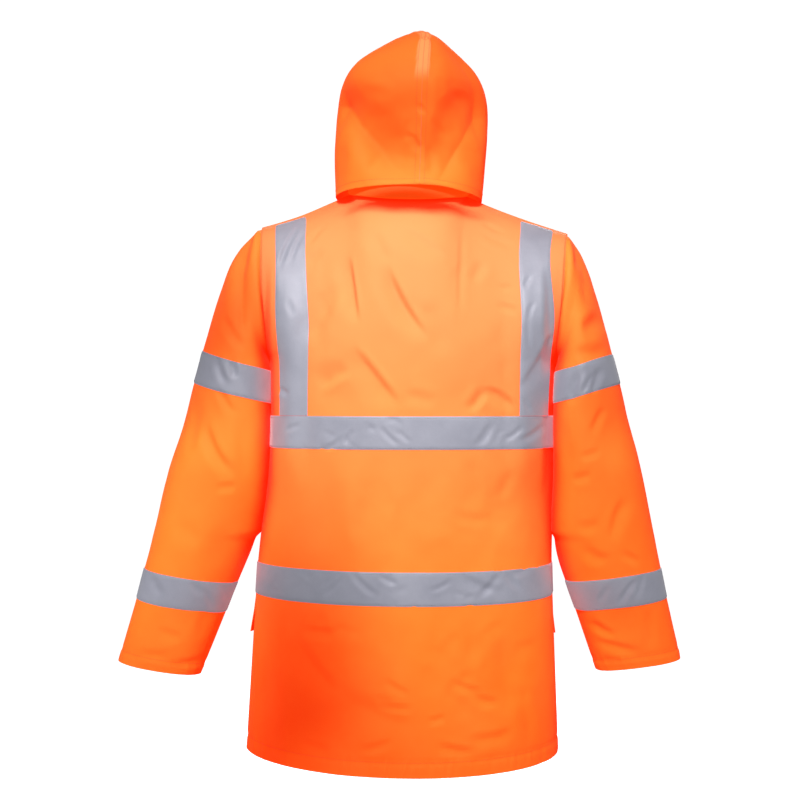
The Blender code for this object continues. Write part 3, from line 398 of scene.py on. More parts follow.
# A crease is a soft trough from one point to another, seen from behind (x, z), or in front for the
# front panels. It bows sideways by bend, falls off over above and below, and is depth deep; round is
# 2 for a soft hollow and about 1 for a sharp line. The table's lengths are in millimetres.
Crease = namedtuple("Crease", "part startX startZ endX endZ bend above below depth round", defaults=(2.0,))
creaseTable = {
    "back": (
        (88, -110, 72, -206, 0, 4, 14, 4), (28, -127, -31, -230, 5, 5, 16, 4.5),
        (102, -151, 142, -238, 5, 18, 12, 3), (77, -251, 12, -332, 0, 6, 22, 3.5),
        (87, -278, 129, -305, 0, 16, 7, 2.5), (138, -65, 153, -84, 0, 4, 4, 1.2),
        (128, -55, 147, -71, 0, 4, 4, 1), (130, -95, 150, -114, 0, 6, 6, 1.2),
        (-119, -50, -149, -66, 2, 4, 5, 1.4), (-118, -67, -165, -87, 3, 4, 6, 1.5),
        (5, -67, -59, -109, 0, 6, 14, 1.5), (-86, -62, -82, -200, 0, 4, 5, 0.7),
        (-119, -116, -101, -147, 0, 8, 8, 1.5), (-142, -154, -162, -154, 0, 3, 5, 1.2),
        (-140, -181, -169, -191, 0, 4, 6, 1.3), (-98, -341, -119, -309, 3, 8, 5, 2.5),
        (-122, -309, -163, -338, -3, 5, 10, 3), (0, -317, -47, -329, 0, 8, 10, 1.2),
        (-38, -176, -62, -260, 0, 14, 18, 1.6), (51, -71, 25, -118, 0, 8, 12, 1.2),
        (125, -405, 113, -549, 0, 16, 20, 1.6), (45, -419, 57, -560, 3, 14, 18, 1.6),
        (-98, -416, -116, -476, 0, 9, 12, 1.4), (-122, -464, -140, -537, 0, 10, 12, 1.2),
        (-71, -497, -131, -507, 3, 8, 8, 1), (-38, -431, -24, -535, 0, 18, 18, 1.2),
        (-161, -432, -143, -477, 0, 8, 8, 1.2), (171, -692, 103, -767, 5, 10, 26, 3),
        (160, -675, 100, -677, 2, 6, 8, 1.8), (100, -767, -15, -818, 3, 12, 20, 1.8),
        (42, -780, -12, -787, 2, 4, 5, 1.6), (45, -771, 18, -777, 0, 4, 4, 1.2),
        (30, -744, -9, -765, 2, 4, 6, 1.3), (-71, -747, -119, -764, 2, 4, 6, 1.6),
        (-95, -763, -140, -784, 3, 5, 7, 1.8), (-36, -806, -62, -800, 0, 4, 5, 1.3),
        (-50, -842, -104, -852, 2, 5, 8, 1.8), (-98, -834, -161, -827, 3, 6, 9, 1.6),
        (-143, -687, -161, -803, 0, 14, 18, 1.6), (-174, -765, -192, -843, 0, 8, 10, 1.5),
        (66, -849, 18, -836, 2, 5, 6, 1.3), (159, -847, 112, -854, 2, 6, 8, 1.4),
        (131, -646, 119, -703, 0, 10, 12, 1), (0, -655, 9, -744, 0, 16, 16, 1),
        (-98, -652, -104, -727, 0, 14, 14, 1), (184, -372, 161, -363, 0, 3, 4, 1),
        (122, -400, 91, -380, 2, 3, 4, 1), (91, -395, 79, -371, 0, 3, 4, 1.1),
        (36, -365, 9, -392, 2, 3, 4, 1.2), (12, -371, -9, -389, 0, 3, 4, 1),
        (-107, -395, -131, -359, 3, 5, 6, 1.8), (-131, -395, -143, -368, 0, 3, 4, 1.4),
        (-149, -386, -177, -365, 2, 3, 4, 1.3), (-174, -387, -211, -363, 3, 4, 5, 1.6),
        (160, -584, 140, -598, 0, 4, 4, 0.8), (125, -621, 94, -593, 2, 3, 4, 1.1),
        (79, -584, 39, -619, 3, 4, 5, 1.3), (39, -586, 9, -601, 2, 3, 4, 0.9),
        (-38, -610, -71, -595, 2, 3, 4, 0.9), (-86, -589, -143, -615, 3, 5, 7, 1.5),
        (-110, -623, -143, -585, 2, 4, 5, 1.4), (-149, -585, -174, -614, 0, 4, 5, 1.2),
        (169, -49, 196, -123, 3, 3, 4, 1.6), (161, -64, 178, -113, 2, 3, 3, 1),
        (196, -307, 179, -317, 0, 3, 5, 2.2), (181, -173, 171, -198, 0, 4, 4, 0.8),
        (-191, -137, -180, -156, 2, 3, 4, 1.2), (-195, -177, -186, -205, 2, 3, 3, 1.3),
        (-186, -202, -189, -250, 2, 3, 4, 1.2), (-212, -244, -222, -228, 0, 3, 4, 1.5),
        (-177, -308, -223, -228, 3, 5, 12, 2.4), (-180, -323, -189, -344, 0, 3, 4, 1.4),
    ),
    "left": (
        (228, -62, 222, -159, 0, 3, 5, 2.5), (222, -159, 217, -236, 0, 3, 4, 2),
        (250, -58, 259, -125, 0, 9, 10, 4), (264, -85, 250, -240, 0, 10, 12, 5.5),
        (285, -197, 251, -246, 2, 7, 6, 3), (294, -260, 274, -303, 2, 5, 6, 3),
        (267, -265, 261, -292, 0, 5, 7, 2.5), (283, -314, 262, -347, 2, 5, 6, 1.8),
        (292, -308, 277, -326, 0, 4, 5, 1.2), (309, -363, 266, -438, 6, 6, 10, 4),
        (291, -461, 261, -458, 0, 5, 6, 1.5), (323, -326, 335, -406, 0, 9, 9, 1.6),
        (253, -357, 247, -449, 0, 10, 9, 1.6), (353, -511, 325, -552, 0, 14, 16, 1.6),
        (275, -511, 297, -587, 0, 14, 14, 1.4), (400, -602, 387, -633, 0, 6, 8, 1.6),
        (337, -609, 318, -632, 0, 5, 6, 1.3), (290, -614, 287, -644, 0, 5, 5, 1.2),
        (317, -622, 306, -654, 0, 4, 4, 1), (426, -726, 377, -732, 2, 6, 6, 1.3),
        (369, -745, 329, -739, 2, 5, 6, 1.5), (394, -689, 357, -702, 2, 7, 8, 1.2),
        (318, -660, 333, -707, 0, 7, 8, 1.2),
    ),
    "right": (
        (-251, -69, -237, -173, 0, 3, 4, 2.2), (-237, -173, -231, -234, 0, 3, 4, 1.8),
        (-263, -78, -266, -124, 0, 7, 9, 2.5), (-274, -94, -276, -183, 0, 7, 10, 2.5),
        (-301, -199, -270, -223, 2, 9, 12, 3), (-256, -253, -305, -251, 2, 8, 10, 2.5),
        (-258, -284, -252, -332, 2, 5, 8, 2.5), (-285, -284, -264, -320, 0, 4, 4, 1.8),
        (-296, -278, -281, -314, 0, 5, 6, 2.2), (-303, -338, -282, -377, 2, 5, 6, 1.6),
        (-264, -411, -294, -402, 2, 5, 6, 1.3), (-253, -445, -282, -438, 2, 6, 7, 1.5),
        (-238, -357, -250, -433, 0, 10, 10, 1.4), (-332, -478, -315, -540, 3, 6, 10, 2.4),
        (-263, -522, -296, -515, 2, 8, 8, 1.2), (-273, -554, -310, -575, 3, 8, 9, 1.6),
        (-331, -559, -360, -576, 2, 5, 6, 1.4), (-354, -605, -331, -644, 2, 4, 5, 1.8),
        (-367, -595, -356, -634, 0, 4, 4, 1.2), (-311, -614, -300, -641, 0, 4, 5, 1),
        (-287, -677, -325, -699, 2, 6, 6, 1.6), (-298, -708, -367, -725, 2, 6, 8, 1.6),
        (-376, -655, -386, -722, 0, 7, 8, 1.2),
    ),
    "hood": (
        (146, 174, -6, 0, -3, 26, 20, 19, 1.2), (-150, 166, -47, 2, -3, 30, 20, 12, 1.2),
        (-112, 260, -106, 80, 0, 60, 30, 8.5), (-12, 150, -22, 10, 0, 50, 45, 10),
        (-20, 118, -29, 104, 0, 4, 5, 2), (-6, 67, -25, 54, 2, 4, 6, 2.4),
        (8, 73, -19, 65, 0, 4, 4, 1.2), (-47, 98, -67, 74, 2, 5, 6, 1.2),
        (-17, 98, -21, 76, 0, 3, 3, 1), (8, 59, 6, 18, 2, 6, 8, 2),
        (-43, 61, -40, 16, 0, 6, 8, 2), (38, 173, 13, 148, 0, 8, 10, 0.9),
        (-53, 162, -62, 133, 0, 7, 8, 0.9), (70, 147, 22, 137, 2, 8, 10, 1.2),
        (-77, 136, -113, 137, 2, 8, 10, 1.2), (99, 92, 105, 2, 0, 8, 10, 1.5),
        (-104, 90, -110, 2, 0, 8, 10, 1.5),
    ),
}
creases = [
    Crease(part, *(length / 1000 for length in row[:8]), *row[8:])
    for part, rows in creaseTable.items()
    for row in rows
]

# similar ones where nothing is fixed: how many, in which box, along which way, and how large
Scatter = namedtuple("Scatter", "part count lowX highX lowZ highZ angle spread length width depth")
scatters = (
    Scatter("front", 10, 0.03, 0.20, -0.30, -0.12, 62, 22, 0.070, 0.011, 0.0022),
    Scatter("front", 14, 0.03, 0.20, -0.60, -0.42, 80, 40, 0.080, 0.013, 0.0016),
    Scatter("front", 16, 0.03, 0.21, -0.84, -0.66, 70, 50, 0.060, 0.010, 0.0016),
    Scatter("front", 8, 0.02, 0.20, -0.80, -0.66, 10, 16, 0.040, 0.006, 0.0012),
    Scatter("sleeveFront", 14, 0.26, 0.38, -0.52, -0.12, 62, 24, 0.060, 0.009, 0.0022),
    Scatter("sleeveFront", 12, 0.30, 0.42, -0.72, -0.42, 40, 40, 0.045, 0.008, 0.0016),
    Scatter("back", 20, -0.20, 0.20, -0.60, -0.46, 82, 40, 0.070, 0.012, 0.0006),
    Scatter("back", 26, -0.20, 0.20, -0.85, -0.66, 40, 60, 0.040, 0.008, 0.0006),
    Scatter("back", 14, -0.18, 0.18, -0.34, -0.10, 65, 40, 0.045, 0.009, 0.0005),
    Scatter("tape", 60, -0.24, 0.24, -0.65, -0.34, 45, 60, 0.024, 0.0035, 0.0006),
    Scatter("hood", 16, -0.10, 0.10, 0.02, 0.20, 70, 70, 0.030, 0.007, 0.0007),
)
scatterSeed = 41
creaseDepth = 1.35  # all creases deepened by this
shoulder = {"share": 0.28, "most": 0.0009, "away": 1.9, "spread": 0.8}  # the cloth rises beside a crease
crumple = {"layers": ((14.0, 0.0011), (42.0, 0.00045)), "flattened": 0.7, "shift": 7.3}


def isFront(part):
    return part.lower().startswith(("front", "sleevefront"))


def scatteredCreases():
    dice = random.Random(scatterSeed)
    made = []
    for s in scatters:
        for k in range(s.count):
            x, z = dice.uniform(s.lowX, s.highX), dice.uniform(s.lowZ, s.highZ)
            angle = math.radians(s.angle + dice.uniform(-s.spread, s.spread))
            length = s.length * dice.uniform(0.55, 1.4)
            width = s.width * dice.uniform(0.6, 1.35)
            depth = s.depth * dice.uniform(0.5, 1.3)
            if s.part == "back" and dice.random() < 0.5:
                angle = -angle
            run = (math.cos(angle) * length / 2, math.sin(angle) * length / 2)
            bend = dice.uniform(-0.12, 0.12) * length
            row = (x - run[0], z - run[1], x + run[0], z + run[1], bend)
            part = s.part
            if isFront(part):
                part += "Left" if dice.random() < 0.5 else "Right"
            if part.endswith("Right"):
                row = (-row[0], row[1], -row[2], row[3], -bend)
            made.append(Crease(part, *row, width, width * 1.6, depth))
    return made


creases += scatteredCreases()
print("creases laid out:", len(creases))


def smoothRamp(value, low, high):
    share = np.clip((value - low) / (high - low), 0, 1)
    return share * share * (3 - 2 * share)


def creaseHeight(points, parts):
    # how far the cloth sinks (-) or rises (+) at each point
    height = np.zeros(points.shape[:-1])
    place = points[..., [0, 2]]
    for c in (c for c in creases if c.part in parts):
        start = np.array([c.startX, c.startZ])
        run = np.array([c.endX, c.endZ]) - start
        length = max(np.hypot(*run), 1e-6)
        along = (place - start) @ run / length**2
        across = (place - start) @ np.array([-run[1], run[0]]) / length
        across = across - c.bend * 4 * along * (1 - along)
        if run[0] > 0:
            across = -across
        away = abs(across) / np.where(across < 0, c.above, c.below)
        taper = smoothRamp(np.minimum(along + 0.10, 1.10 - along), 0.0, 0.42)
        rise = min(shoulder["share"] * c.depth, shoulder["most"])
        rise = rise * np.exp(-((away - shoulder["away"]) ** 2) / shoulder["spread"])
        height -= creaseDepth * taper * (c.depth * np.exp(-(away**c.round)) - rise)
    return height


def crumpleHeight(points):
    flat = points.reshape(-1, 3)
    out = np.zeros(len(flat))
    for scale, size in crumple["layers"]:
        for k, (x, y, z) in enumerate(flat):
            spot = Vector((x * scale + crumple["shift"], y * scale, z * scale * crumple["flattened"]))
            out[k] += size * noise.noise(spot)
    return out.reshape(points.shape[:-1])


# one row for each cloth piece: material, slot, thickness, subdivisions, the creases that reach it, width
# and length of the flat cut, its area where that isn't a rectangle, how it is held, what it rests on
Cut = namedtuple("Cut", "look slot wall levels parts flat area held rests")
panelRows = {
    "back": ("orangeCloth", ("back",), (0.58, 0.90), 0.515),
    "front_left": ("orangeCloth", ("frontLeft",), (0.30, 0.89), 0.26),
    "front_right": ("orangeCloth", ("frontRight",), (0.30, 0.885), 0.26),
    "sleeve_left": ("sleeveCloth", ("left", "sleeveFrontLeft"), (0.54, 0.70), 0.29),
    "sleeve_right": ("sleeveCloth", ("right", "sleeveFrontRight"), (0.53, 0.68), 0.27),
    "collar": ("collarShadedCloth", (), (0.60, 0.07), 0.041),
    "hood_left": ("hoodCloth", ("hood",), (0.32, 0.34), 0.095),
    "hood_right": ("hoodCloth", ("hood",), (0.31, 0.34), 0.085),
}
laidRows = {
    "tape_waist_back": ((0.585, 0.05), "back"),
    "tape_waist_front_left": ((0.345, 0.05), "front_left"),
    "tape_waist_front_right": ((0.31, 0.05), "front_right"),
    "tape_chest_back": ((0.61, 0.05), "back"),
    "tape_chest_front_left": ((0.30, 0.05), "front_left"),
    "tape_chest_front_right": ((0.31, 0.05), "front_right"),
    "tape_brace_left": ((0.05, 0.72), "back", "front_left"),
    "tape_brace_right": ((0.055, 0.70), "back", "front_right"),
    "tape_upper_sleeve_left": ((0.47, 0.05), "sleeve_left"),
    "tape_lower_sleeve_left": ((0.44, 0.05), "sleeve_left"),
    "tape_upper_sleeve_right": ((0.44, 0.05), "sleeve_right"),
    "tape_lower_sleeve_right": ((0.44, 0.05), "sleeve_right"),
    "pocket_left": ((0.20, 0.18), "front_left"),
    "pocket_right": ((0.20, 0.18), "front_right"),
    "pocket_flap_left": ((0.21, 0.07), "front_left"),
    "pocket_flap_right": ((0.20, 0.07), "front_right"),
}
walls = {"panel": 0.0018, "tape": 0.0010, "pocket": 0.0012}
cuts = {
    node: Cut(look, "orange_cloth", walls["panel"], 3, parts, flat, area, "hung", ())
    for node, (look, parts, flat, area) in panelRows.items()
}
for node, (flat, *under) in laidRows.items():
    reach = sum((panelRows[n][1] for n in under), ())
    kind = ("orangeCloth", "orange_cloth", walls["pocket"], 3 if "flap" in node else 2)
    if node.startswith("tape"):
        reach += ("tape",) if "back" in under else ()
        kind = ("silverTape", "reflective_tape", walls["tape"], 3)
    cuts[node] = Cut(*kind, reach, flat, None, "laid", under)

# ways to part a CAD wall's outer face from its rim: the rim's faces have an edge no longer than a
# share of the wall's thickness, or lie across an edge sharper than an angle in degrees
rimTests = ((1.45, 180), (1.2, 180), (1.08, 180), (0, 55))


def mergedMesh(node):
    bm = bmesh.new()
    bm.from_mesh(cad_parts[node].data)
    bmesh.ops.remove_doubles(bm, verts=bm.verts[:], dist=1e-6)
    return bm


def islandsOf(bm, sharpest):
    # sets of faces that hang together across edges less sharp than this
    left, islands = set(bm.faces), []
    while left:
        stack = [left.pop()]
        islands.append([])
        while stack:
            face = stack.pop()
            islands[-1].append(face)
            for edge in face.edges:
                if edge.calc_face_angle(9) <= math.radians(sharpest):
                    near = [f for f in edge.link_faces if f in left]
                    left.difference_update(near)
                    stack += near
    return islands


def outerFace(node, rimLength, sharpest):
    # the wall's outer face alone, as triangles
    bm = mergedMesh(node)
    rim = [f for f in bm.faces if min(e.calc_length() for e in f.edges) < rimLength]
    bmesh.ops.delete(bm, geom=rim, context="FACES_ONLY")
    bm.normal_update()
    islands = sorted(islandsOf(bm, sharpest), key=len)[-2:]
    middle = Vector((0, 0, 0))
    if "sleeve" in node:
        centres = [f.calc_center_median() for f in islands[0]]
        middle = sum(centres, Vector()) / len(centres)

    def outwards(island):
        total = 0.0
        for face in island:
            away = face.calc_center_median() - middle
            away.z = away.z - 0.08 if "hood" in node else 0
            total += away.dot(face.normal) * face.calc_area()
        return total

    kept = set(max(islands, key=outwards))
    bmesh.ops.delete(bm, geom=[f for f in bm.faces if f not in kept], context="FACES")
    bmesh.ops.delete(bm, geom=[v for v in bm.verts if not v.link_faces], context="VERTS")
    bm.verts.index_update()
    return bm


def borderOf(bm):
    # the border's points in order, with the cloth on their left
    follow = {}
    for edge in bm.edges:
        if edge.is_boundary:
            loop = edge.link_loops[0]
            follow[loop.vert] = loop.link_loop_next.vert
    point = first = min(follow, key=lambda v: v.index)
    border = []
    while True:
        border.append(point)
        point = follow[point]
        if point is first:
            return border


def walkRows(bm, border, start, columns, rows):
    # rows of points, found one strip of triangles at a time, or None where the strips don't close
    count = len(border)
    grid = [[border[(start + k) % count] for k in range(columns + 1)]]
    used = set()

    def nextPoint(a, b):
        edge = bm.edges.get((a, b))
        faces = [f for f in edge.link_faces if f not in used] if edge else []
        if len(faces) != 1:
            return None
        used.add(faces[0])
        return next(v for v in faces[0].verts if v is not a and v is not b)

    for r in range(rows):
        row = [border[(start - r - 1) % count]]
        for c in range(columns):
            a, b, d = grid[r][c], grid[r][c + 1], row[c]
            point = nextPoint(a, b)
            if point is d:
                point = nextPoint(b, d)
            elif point is None or nextPoint(a, point) is not d:
                return None
            if point is None:
                return None
            row.append(point)
        if row[-1] is not border[(start + columns + r + 1) % count]:
            return None
        grid.append(row)
    return grid


def gridOf(bm, up):
    # the sheet's rows and columns, with the rows going the way of up
    border = borderOf(bm)
    half, product = len(border) / 2, len(bm.faces) / 2
    spread = math.sqrt(max(half * half / 4 - product, 0))
    found = []
    for columns in {round(half / 2 - spread), round(half / 2 + spread)}:
        for start in range(len(border)):
            grid = walkRows(bm, border, start, columns, round(half) - columns)
            if grid:
                found.append(np.array([[v.co[:] for v in row] for row in grid]))
    return max(found, key=lambda g: float((g[-1] - g[0]).mean(axis=0) @ np.array(up)), default=None)


def gridNormals(points):
    normals = np.cross(np.gradient(points, axis=1), np.gradient(points, axis=0))
    return normals / np.linalg.norm(normals, axis=-1, keepdims=True)


def asQuads(points):
    # a grid's points and its quads, as lists
    rows, columns = points.shape[:2]
    index = np.arange(rows * columns).reshape(rows, columns)
    quads = np.stack([index[:-1, :-1], index[:-1, 1:], index[1:, 1:], index[1:, :-1]], axis=-1)
    return points.reshape(-1, 3).tolist(), quads.reshape(-1, 4).tolist()


def gridMesh(name, points):
    corners, quads = asQuads(points)
    mesh = bpy.data.meshes.new(name)
    mesh.from_pydata(corners, [], quads)
    return mesh


def bvhFromGrid(points):
    return BVHTree.FromPolygons(*asQuads(points))


def readArray(items, key, wide, kind=float):
    out = np.zeros(len(items) * wide, dtype=kind)
    items.foreach_get(key, out)
    return out.reshape(-1, wide) if wide > 1 else out


def coarseGrid(node, wall):
    up = (0, -1, 0) if "brace" in node else (0, 0, 1)
    for share, sharpest in rimTests:
        bm = outerFace(node, share * wall, sharpest)
        grid = gridOf(bm, up)
        bm.free()
        if grid is not None:
            return grid


def smoothGrid(node, levels, wall):
    # quads from the CAD wall's outer face, subdivided, as an array of points
    coarse = coarseGrid(node, wall)
    rows, columns = coarse.shape[:2]
    mesh = gridMesh(node + "_cage", coarse)
    layer = mesh.uv_layers.new(name="cloth")
    for loop in mesh.loops:
        r, c = divmod(loop.vertex_index, columns)
        layer.data[loop.index].uv = (c / (columns - 1), r / (rows - 1))
    obj = intoScene(node + "_cage", mesh)
    onlySelected(obj)
    finer = obj.modifiers.new("Smooth", "SUBSURF")
    finer.levels = finer.render_levels = levels
    finer.uv_smooth, finer.boundary_smooth = "NONE", "PRESERVE_CORNERS"
    bpy.ops.object.modifier_apply(modifier=finer.name)
    mesh, fine = obj.data, 2**levels
    high, wide = (rows - 1) * fine + 1, (columns - 1) * fine + 1
    spots = readArray(mesh.uv_layers["cloth"].data, "uv", 2)
    at = np.round(spots * (wide - 1, high - 1)).astype(int)
    points = np.full((high, wide, 3), np.nan)
    places = readArray(mesh.vertices, "co", 3)
    points[at[:, 1], at[:, 0]] = places[readArray(mesh.loops, "vertex_index", 1, int)]
    bpy.data.objects.remove(obj)
    assert not np.isnan(points).any(), node
    return points


def clothMetres(points):
    # the grid's two directions in metres, for the weave
    along = np.linalg.norm(np.diff(points, axis=1), axis=-1).mean(axis=0)
    rise = np.linalg.norm(np.diff(points, axis=0), axis=-1).mean(axis=1)
    return np.concatenate([[0], np.cumsum(along)]), np.concatenate([[0], np.cumsum(rise)])


def meshFromGrid(name, points, looksLike, doubled):
    mesh = gridMesh(name, points)
    u, v = clothMetres(points)
    columns = points.shape[1]
    loops = readArray(mesh.loops, "vertex_index", 1, int)
    uv = np.stack([u[loops % columns], v[loops // columns]], axis=1)
    mesh.uv_layers.new(name="cloth").data.foreach_set("uv", uv.ravel())
    if doubled is not None:
        mesh.attributes.new("doubled", "FLOAT", "POINT").data.foreach_set("value", doubled.ravel())
    mesh.materials.append(looks[looksLike])
    return intoScene(name, mesh)


def giveWall(obj, wall):
    onlySelected(obj)
    solid = obj.modifiers.new("Wall", "SOLIDIFY")
    solid.thickness, solid.offset = wall, -1.0
    solid.use_even_offset = False
    bpy.ops.object.modifier_apply(modifier=solid.name)
    bpy.ops.object.shade_smooth_by_angle(angle=math.radians(60))


# borders held still, because another piece is sewn on there
sewnBorders = {
    "hood": "left right top bottom", **dict.fromkeys(("back", "front", "sleeve"), "left right top"),
    **dict.fromkeys(("tape_waist", "tape_chest"), "left right"),
}
heldWidth = 0.010
armholeRoll = {"rise": 0.0032, "full": 0.005, "gone": 0.026, "lowZ": -0.40, "highZ": -0.32}
highest, deepest = 0.004, 0.030  # how far any crease may rise or sink
# hems: turned-up width, how much the double cloth stands out, depth of the stitched groove, pucker
hems = {
    **dict.fromkeys(("back", "front_left", "front_right"), (0.023, 0.0003, 0.0010, 0.0006)),
    **dict.fromkeys(("sleeve_left", "sleeve_right"), (0.021, 0.0004, 0.0010, 0.0007)),
}
# edges sewn down flat: on which pieces, which borders, how far they are pressed in
pressedEdges = (
    (("tape_waist", "tape_chest", "tape_upper", "tape_lower"), "top bottom", 0.0009),
    (("tape_brace",), "left right", 0.0009), (("pocket_left", "pocket_right"), "left right bottom", 0.0010),
    (("back",), "left right", 0.0018), (("sleeve",), "top", 0.0018),
)


def turnedGrid(points, side, back=False):
    # the grid with one border as its first row, or turned back from that
    if side == "top":
        return points[::-1]
    if side == "left":
        return points.swapaxes(0, 1)
    if side == "right":
        return points.swapaxes(0, 1)[:, ::-1] if back else points[:, ::-1].swapaxes(0, 1)
    return points


def distanceFrom(points, side):
    # how far each point is from one border, along the cloth
    turned = turnedGrid(points, side)
    steps = np.linalg.norm(np.diff(turned, axis=0), axis=-1)
    away = np.concatenate([np.zeros((1, turned.shape[1])), np.cumsum(steps, axis=0)])
    return turnedGrid(away, side, back=True)


def hoodMiddle(points):
    # the border of a hood panel along its back seam; the crown seam is its top
    return "right" if points[..., 0].mean() > 0 else "left"


def fromHoodSeam(points):
    return np.minimum(distanceFrom(points, hoodMiddle(points)), distanceFrom(points, "top"))


# the skirt's left side turns away, and its lower left leans in: how far, over which x, z and y
sideTurns = (
    {"move": 0.026, "x": (0.178, 0.232), "z": (0.60, 0.68), "y": (-0.07, 0.03)},
    {"move": 0.024, "x": (0.03, 0.22), "z": (0.62, 0.88), "y": (-0.10, 0.00)},
)


def turnedSide(points):
    # along the line of sight of somebody behind the jacket
    sight = points - np.array(shot["place"])
    sight /= np.linalg.norm(sight, axis=-1, keepdims=True)
    moved = 0
    for t in sideTurns:
        share = smoothRamp(points[..., 0], *t["x"]) * smoothRamp(-points[..., 2], *t["z"])
        moved = moved + t["move"] * share * smoothRamp(points[..., 1], *t["y"])
    return points + sight * moved[..., None]


# the back lies flatter under each brace: how far out, and the spread of it; and how far over each
# brace's lower end moves, with its height above the back's cloth
braceFlat = {
    "out": 0.012, "fromX": 0.145, "toX": 0.186, "offX": 0.206, "zeroX": 0.218, "topZ": (0.09, 0.22),
    "lowZ": (-0.50, -0.40), "left": -0.0012, "right": 0.0125, "wider": 0.20, "above": 0.0016,
}
bases = {}


def braceHeight(points):
    height = smoothRamp(-points[..., 2], *braceFlat["topZ"]) * smoothRamp(points[..., 2], *braceFlat["lowZ"])
    return height * smoothRamp(points[..., 1], 0.02, 0.06)


def flattenedUnderBrace(points):
    f, x = braceFlat, abs(points[..., 0])
    out = smoothRamp(x, f["fromX"], f["toX"]) * (1 - smoothRamp(x, f["offX"], f["zeroX"]))
    return points + np.array([0, 1, 0]) * (f["out"] * out * braceHeight(points))[..., None]


def movedBrace(points, side):
    # shifted sideways and laid on the back again
    f, height, tree = braceFlat, braceHeight(points), bvhFromGrid(bases["back"])
    sign = 1 if side == "left" else -1
    x = points[..., 0]
    across = x - 0.5 * (x.min(axis=1, keepdims=True) + x.max(axis=1, keepdims=True))
    moved = points.copy()
    moved[..., 0] += (sign * f[side] + across * f["wider"]) * height
    for r, c in zip(*np.nonzero(height > 0.002)):
        spot = moved[r, c]
        hit = tree.ray_cast(Vector((spot[0], 0.3, spot[2])), Vector((0, -1, 0)))
        if hit[0]:
            share = min(height[r, c] * 4, 1.0)
            moved[r, c, 1] += share * (hit[0][1] + f["above"] / max(abs(hit[1][1]), 0.4) - spot[1])
    return moved


# the hood's middle seam sits to one side, with a doubled band of cloth over its upper part, and the
# hood can't sink past the collar inside it
hoodBand = {
    "shift": -0.0205, "reach": 0.095, "y": (0.0, 0.07), "half": 0.0105, "rise": 0.0013,
    "z": (0.150, 0.178), "gap": 0.0035, "lower": 0.004, "lowered": (0.17, 0.26),
}


def bandShare(points):
    # 1 on the doubled band of cloth along the hood's middle seam, 0 off it
    share = smoothRamp(hoodBand["half"] - fromHoodSeam(points), -0.0012, 0.0012)
    return share * smoothRamp(points[..., 2], *hoodBand["z"]) * smoothRamp(points[..., 1], -0.02, 0.04)


def movedSeam(points):
    b = hoodBand
    share = smoothRamp(b["reach"] - abs(points[..., 0]), 0.0, b["reach"])
    share *= smoothRamp(points[..., 1], *b["y"])
    lower = b["lower"] * smoothRamp(points[..., 2], *b["lowered"])
    return points + np.stack([b["shift"] * share, 0 * share, -lower], axis=-1)


# the stand collar rolls out over the neck seam behind: height above the seam, how far out and up
collarRoll = (
    (0.0, 0.0, 0.0), (0.004, 0.0075, -0.007), (0.008, 0.0110, -0.010), (0.013, 0.0095, -0.007),
    (0.019, 0.005, -0.002), (0.028, 0.000, 0.0), (0.045, -0.010, 0.0), (0.07, -0.022, 0.0),
)


def rolledCollar(points):
    away = distanceFrom(points, "bottom")
    heights, out, rise = zip(*collarRoll)
    share = smoothRamp(points[..., 1], -0.02, 0.05)
    ways = gridNormals(points) * np.array([1, 1, 0])
    ways /= np.linalg.norm(ways, axis=-1, keepdims=True)
    moved = points + ways * (np.interp(away, heights, out) * share)[..., None]
    moved[..., 2] += np.interp(away, heights, rise) * share
    return moved


def roomInside(points, normals):
    # how far the hood can sink before it meets the collar
    collar = bvhFromGrid(sheets["collar"][1])
    room = np.full(points.shape[:2], deepest)
    for r, c in np.ndindex(room.shape):
        hit = collar.ray_cast(Vector(points[r, c]), Vector(-normals[r, c]), 0.06)
        if hit[0]:
            room[r, c] = max(hit[3] - hoodBand["gap"], 0.0005)
    flat = room.copy()
    for step in range(40):
        flat[1:-1, 1:-1] = (flat[:-2, 1:-1] + flat[2:, 1:-1] + flat[1:-1, :-2] + flat[1:-1, 2:]) / 4
    return np.minimum(flat, room)


def easedYoke(points):
    # the upper back pulled smooth between the shoulders
    flat = points.copy()
    for step in range(60):
        flat[:, 1:-1] = (flat[:, :-2] + 2 * flat[:, 1:-1] + flat[:, 2:]) / 4
    near = smoothRamp(0.150 - abs(points[..., 0]), 0.0, 0.03) * smoothRamp(points[..., 2], -0.42, -0.34)
    near *= smoothRamp(distanceFrom(points, "top"), 0.004, 0.03)
    return points + (flat - points) * near[..., None]


# a sleeve leans on the body: the depths below the neck between which its inner side is drawn over, how
# far at most, and how far the back of its outer side comes in
lean = {"top": (0.14, 0.22), "end": (-0.545, -0.53), "most": 0.024, "overlap": 0.0048, "steep": 0.022}
sheets = {}
leans = {}


def leanAt(side):
    # at each height, where the sleeve's middle is and how far its inner side is from the body
    sleeve = bases[f"sleeve_{side}"].reshape(-1, 3)
    body = np.concatenate([bases[n].reshape(-1, 3) for n in ("back", "front_left", "front_right")])
    sign = 1 if side == "left" else -1
    heights = np.arange(lean["end"][0] - 0.01, -0.06, 0.01)
    rows = []
    for z in heights:
        near = sign * sleeve[abs(sleeve[:, 2] - z) < 0.008, 0]
        flank = sign * body[abs(body[:, 2] - z) < 0.008, 0]
        rows.append((near.mean(), near.min(), near.max(), near.min() - flank.max()))
    middle, inner, outer, gap = np.array(rows).T
    return heights, middle, inner, outer, np.clip(gap + lean["overlap"], 0, lean["most"])


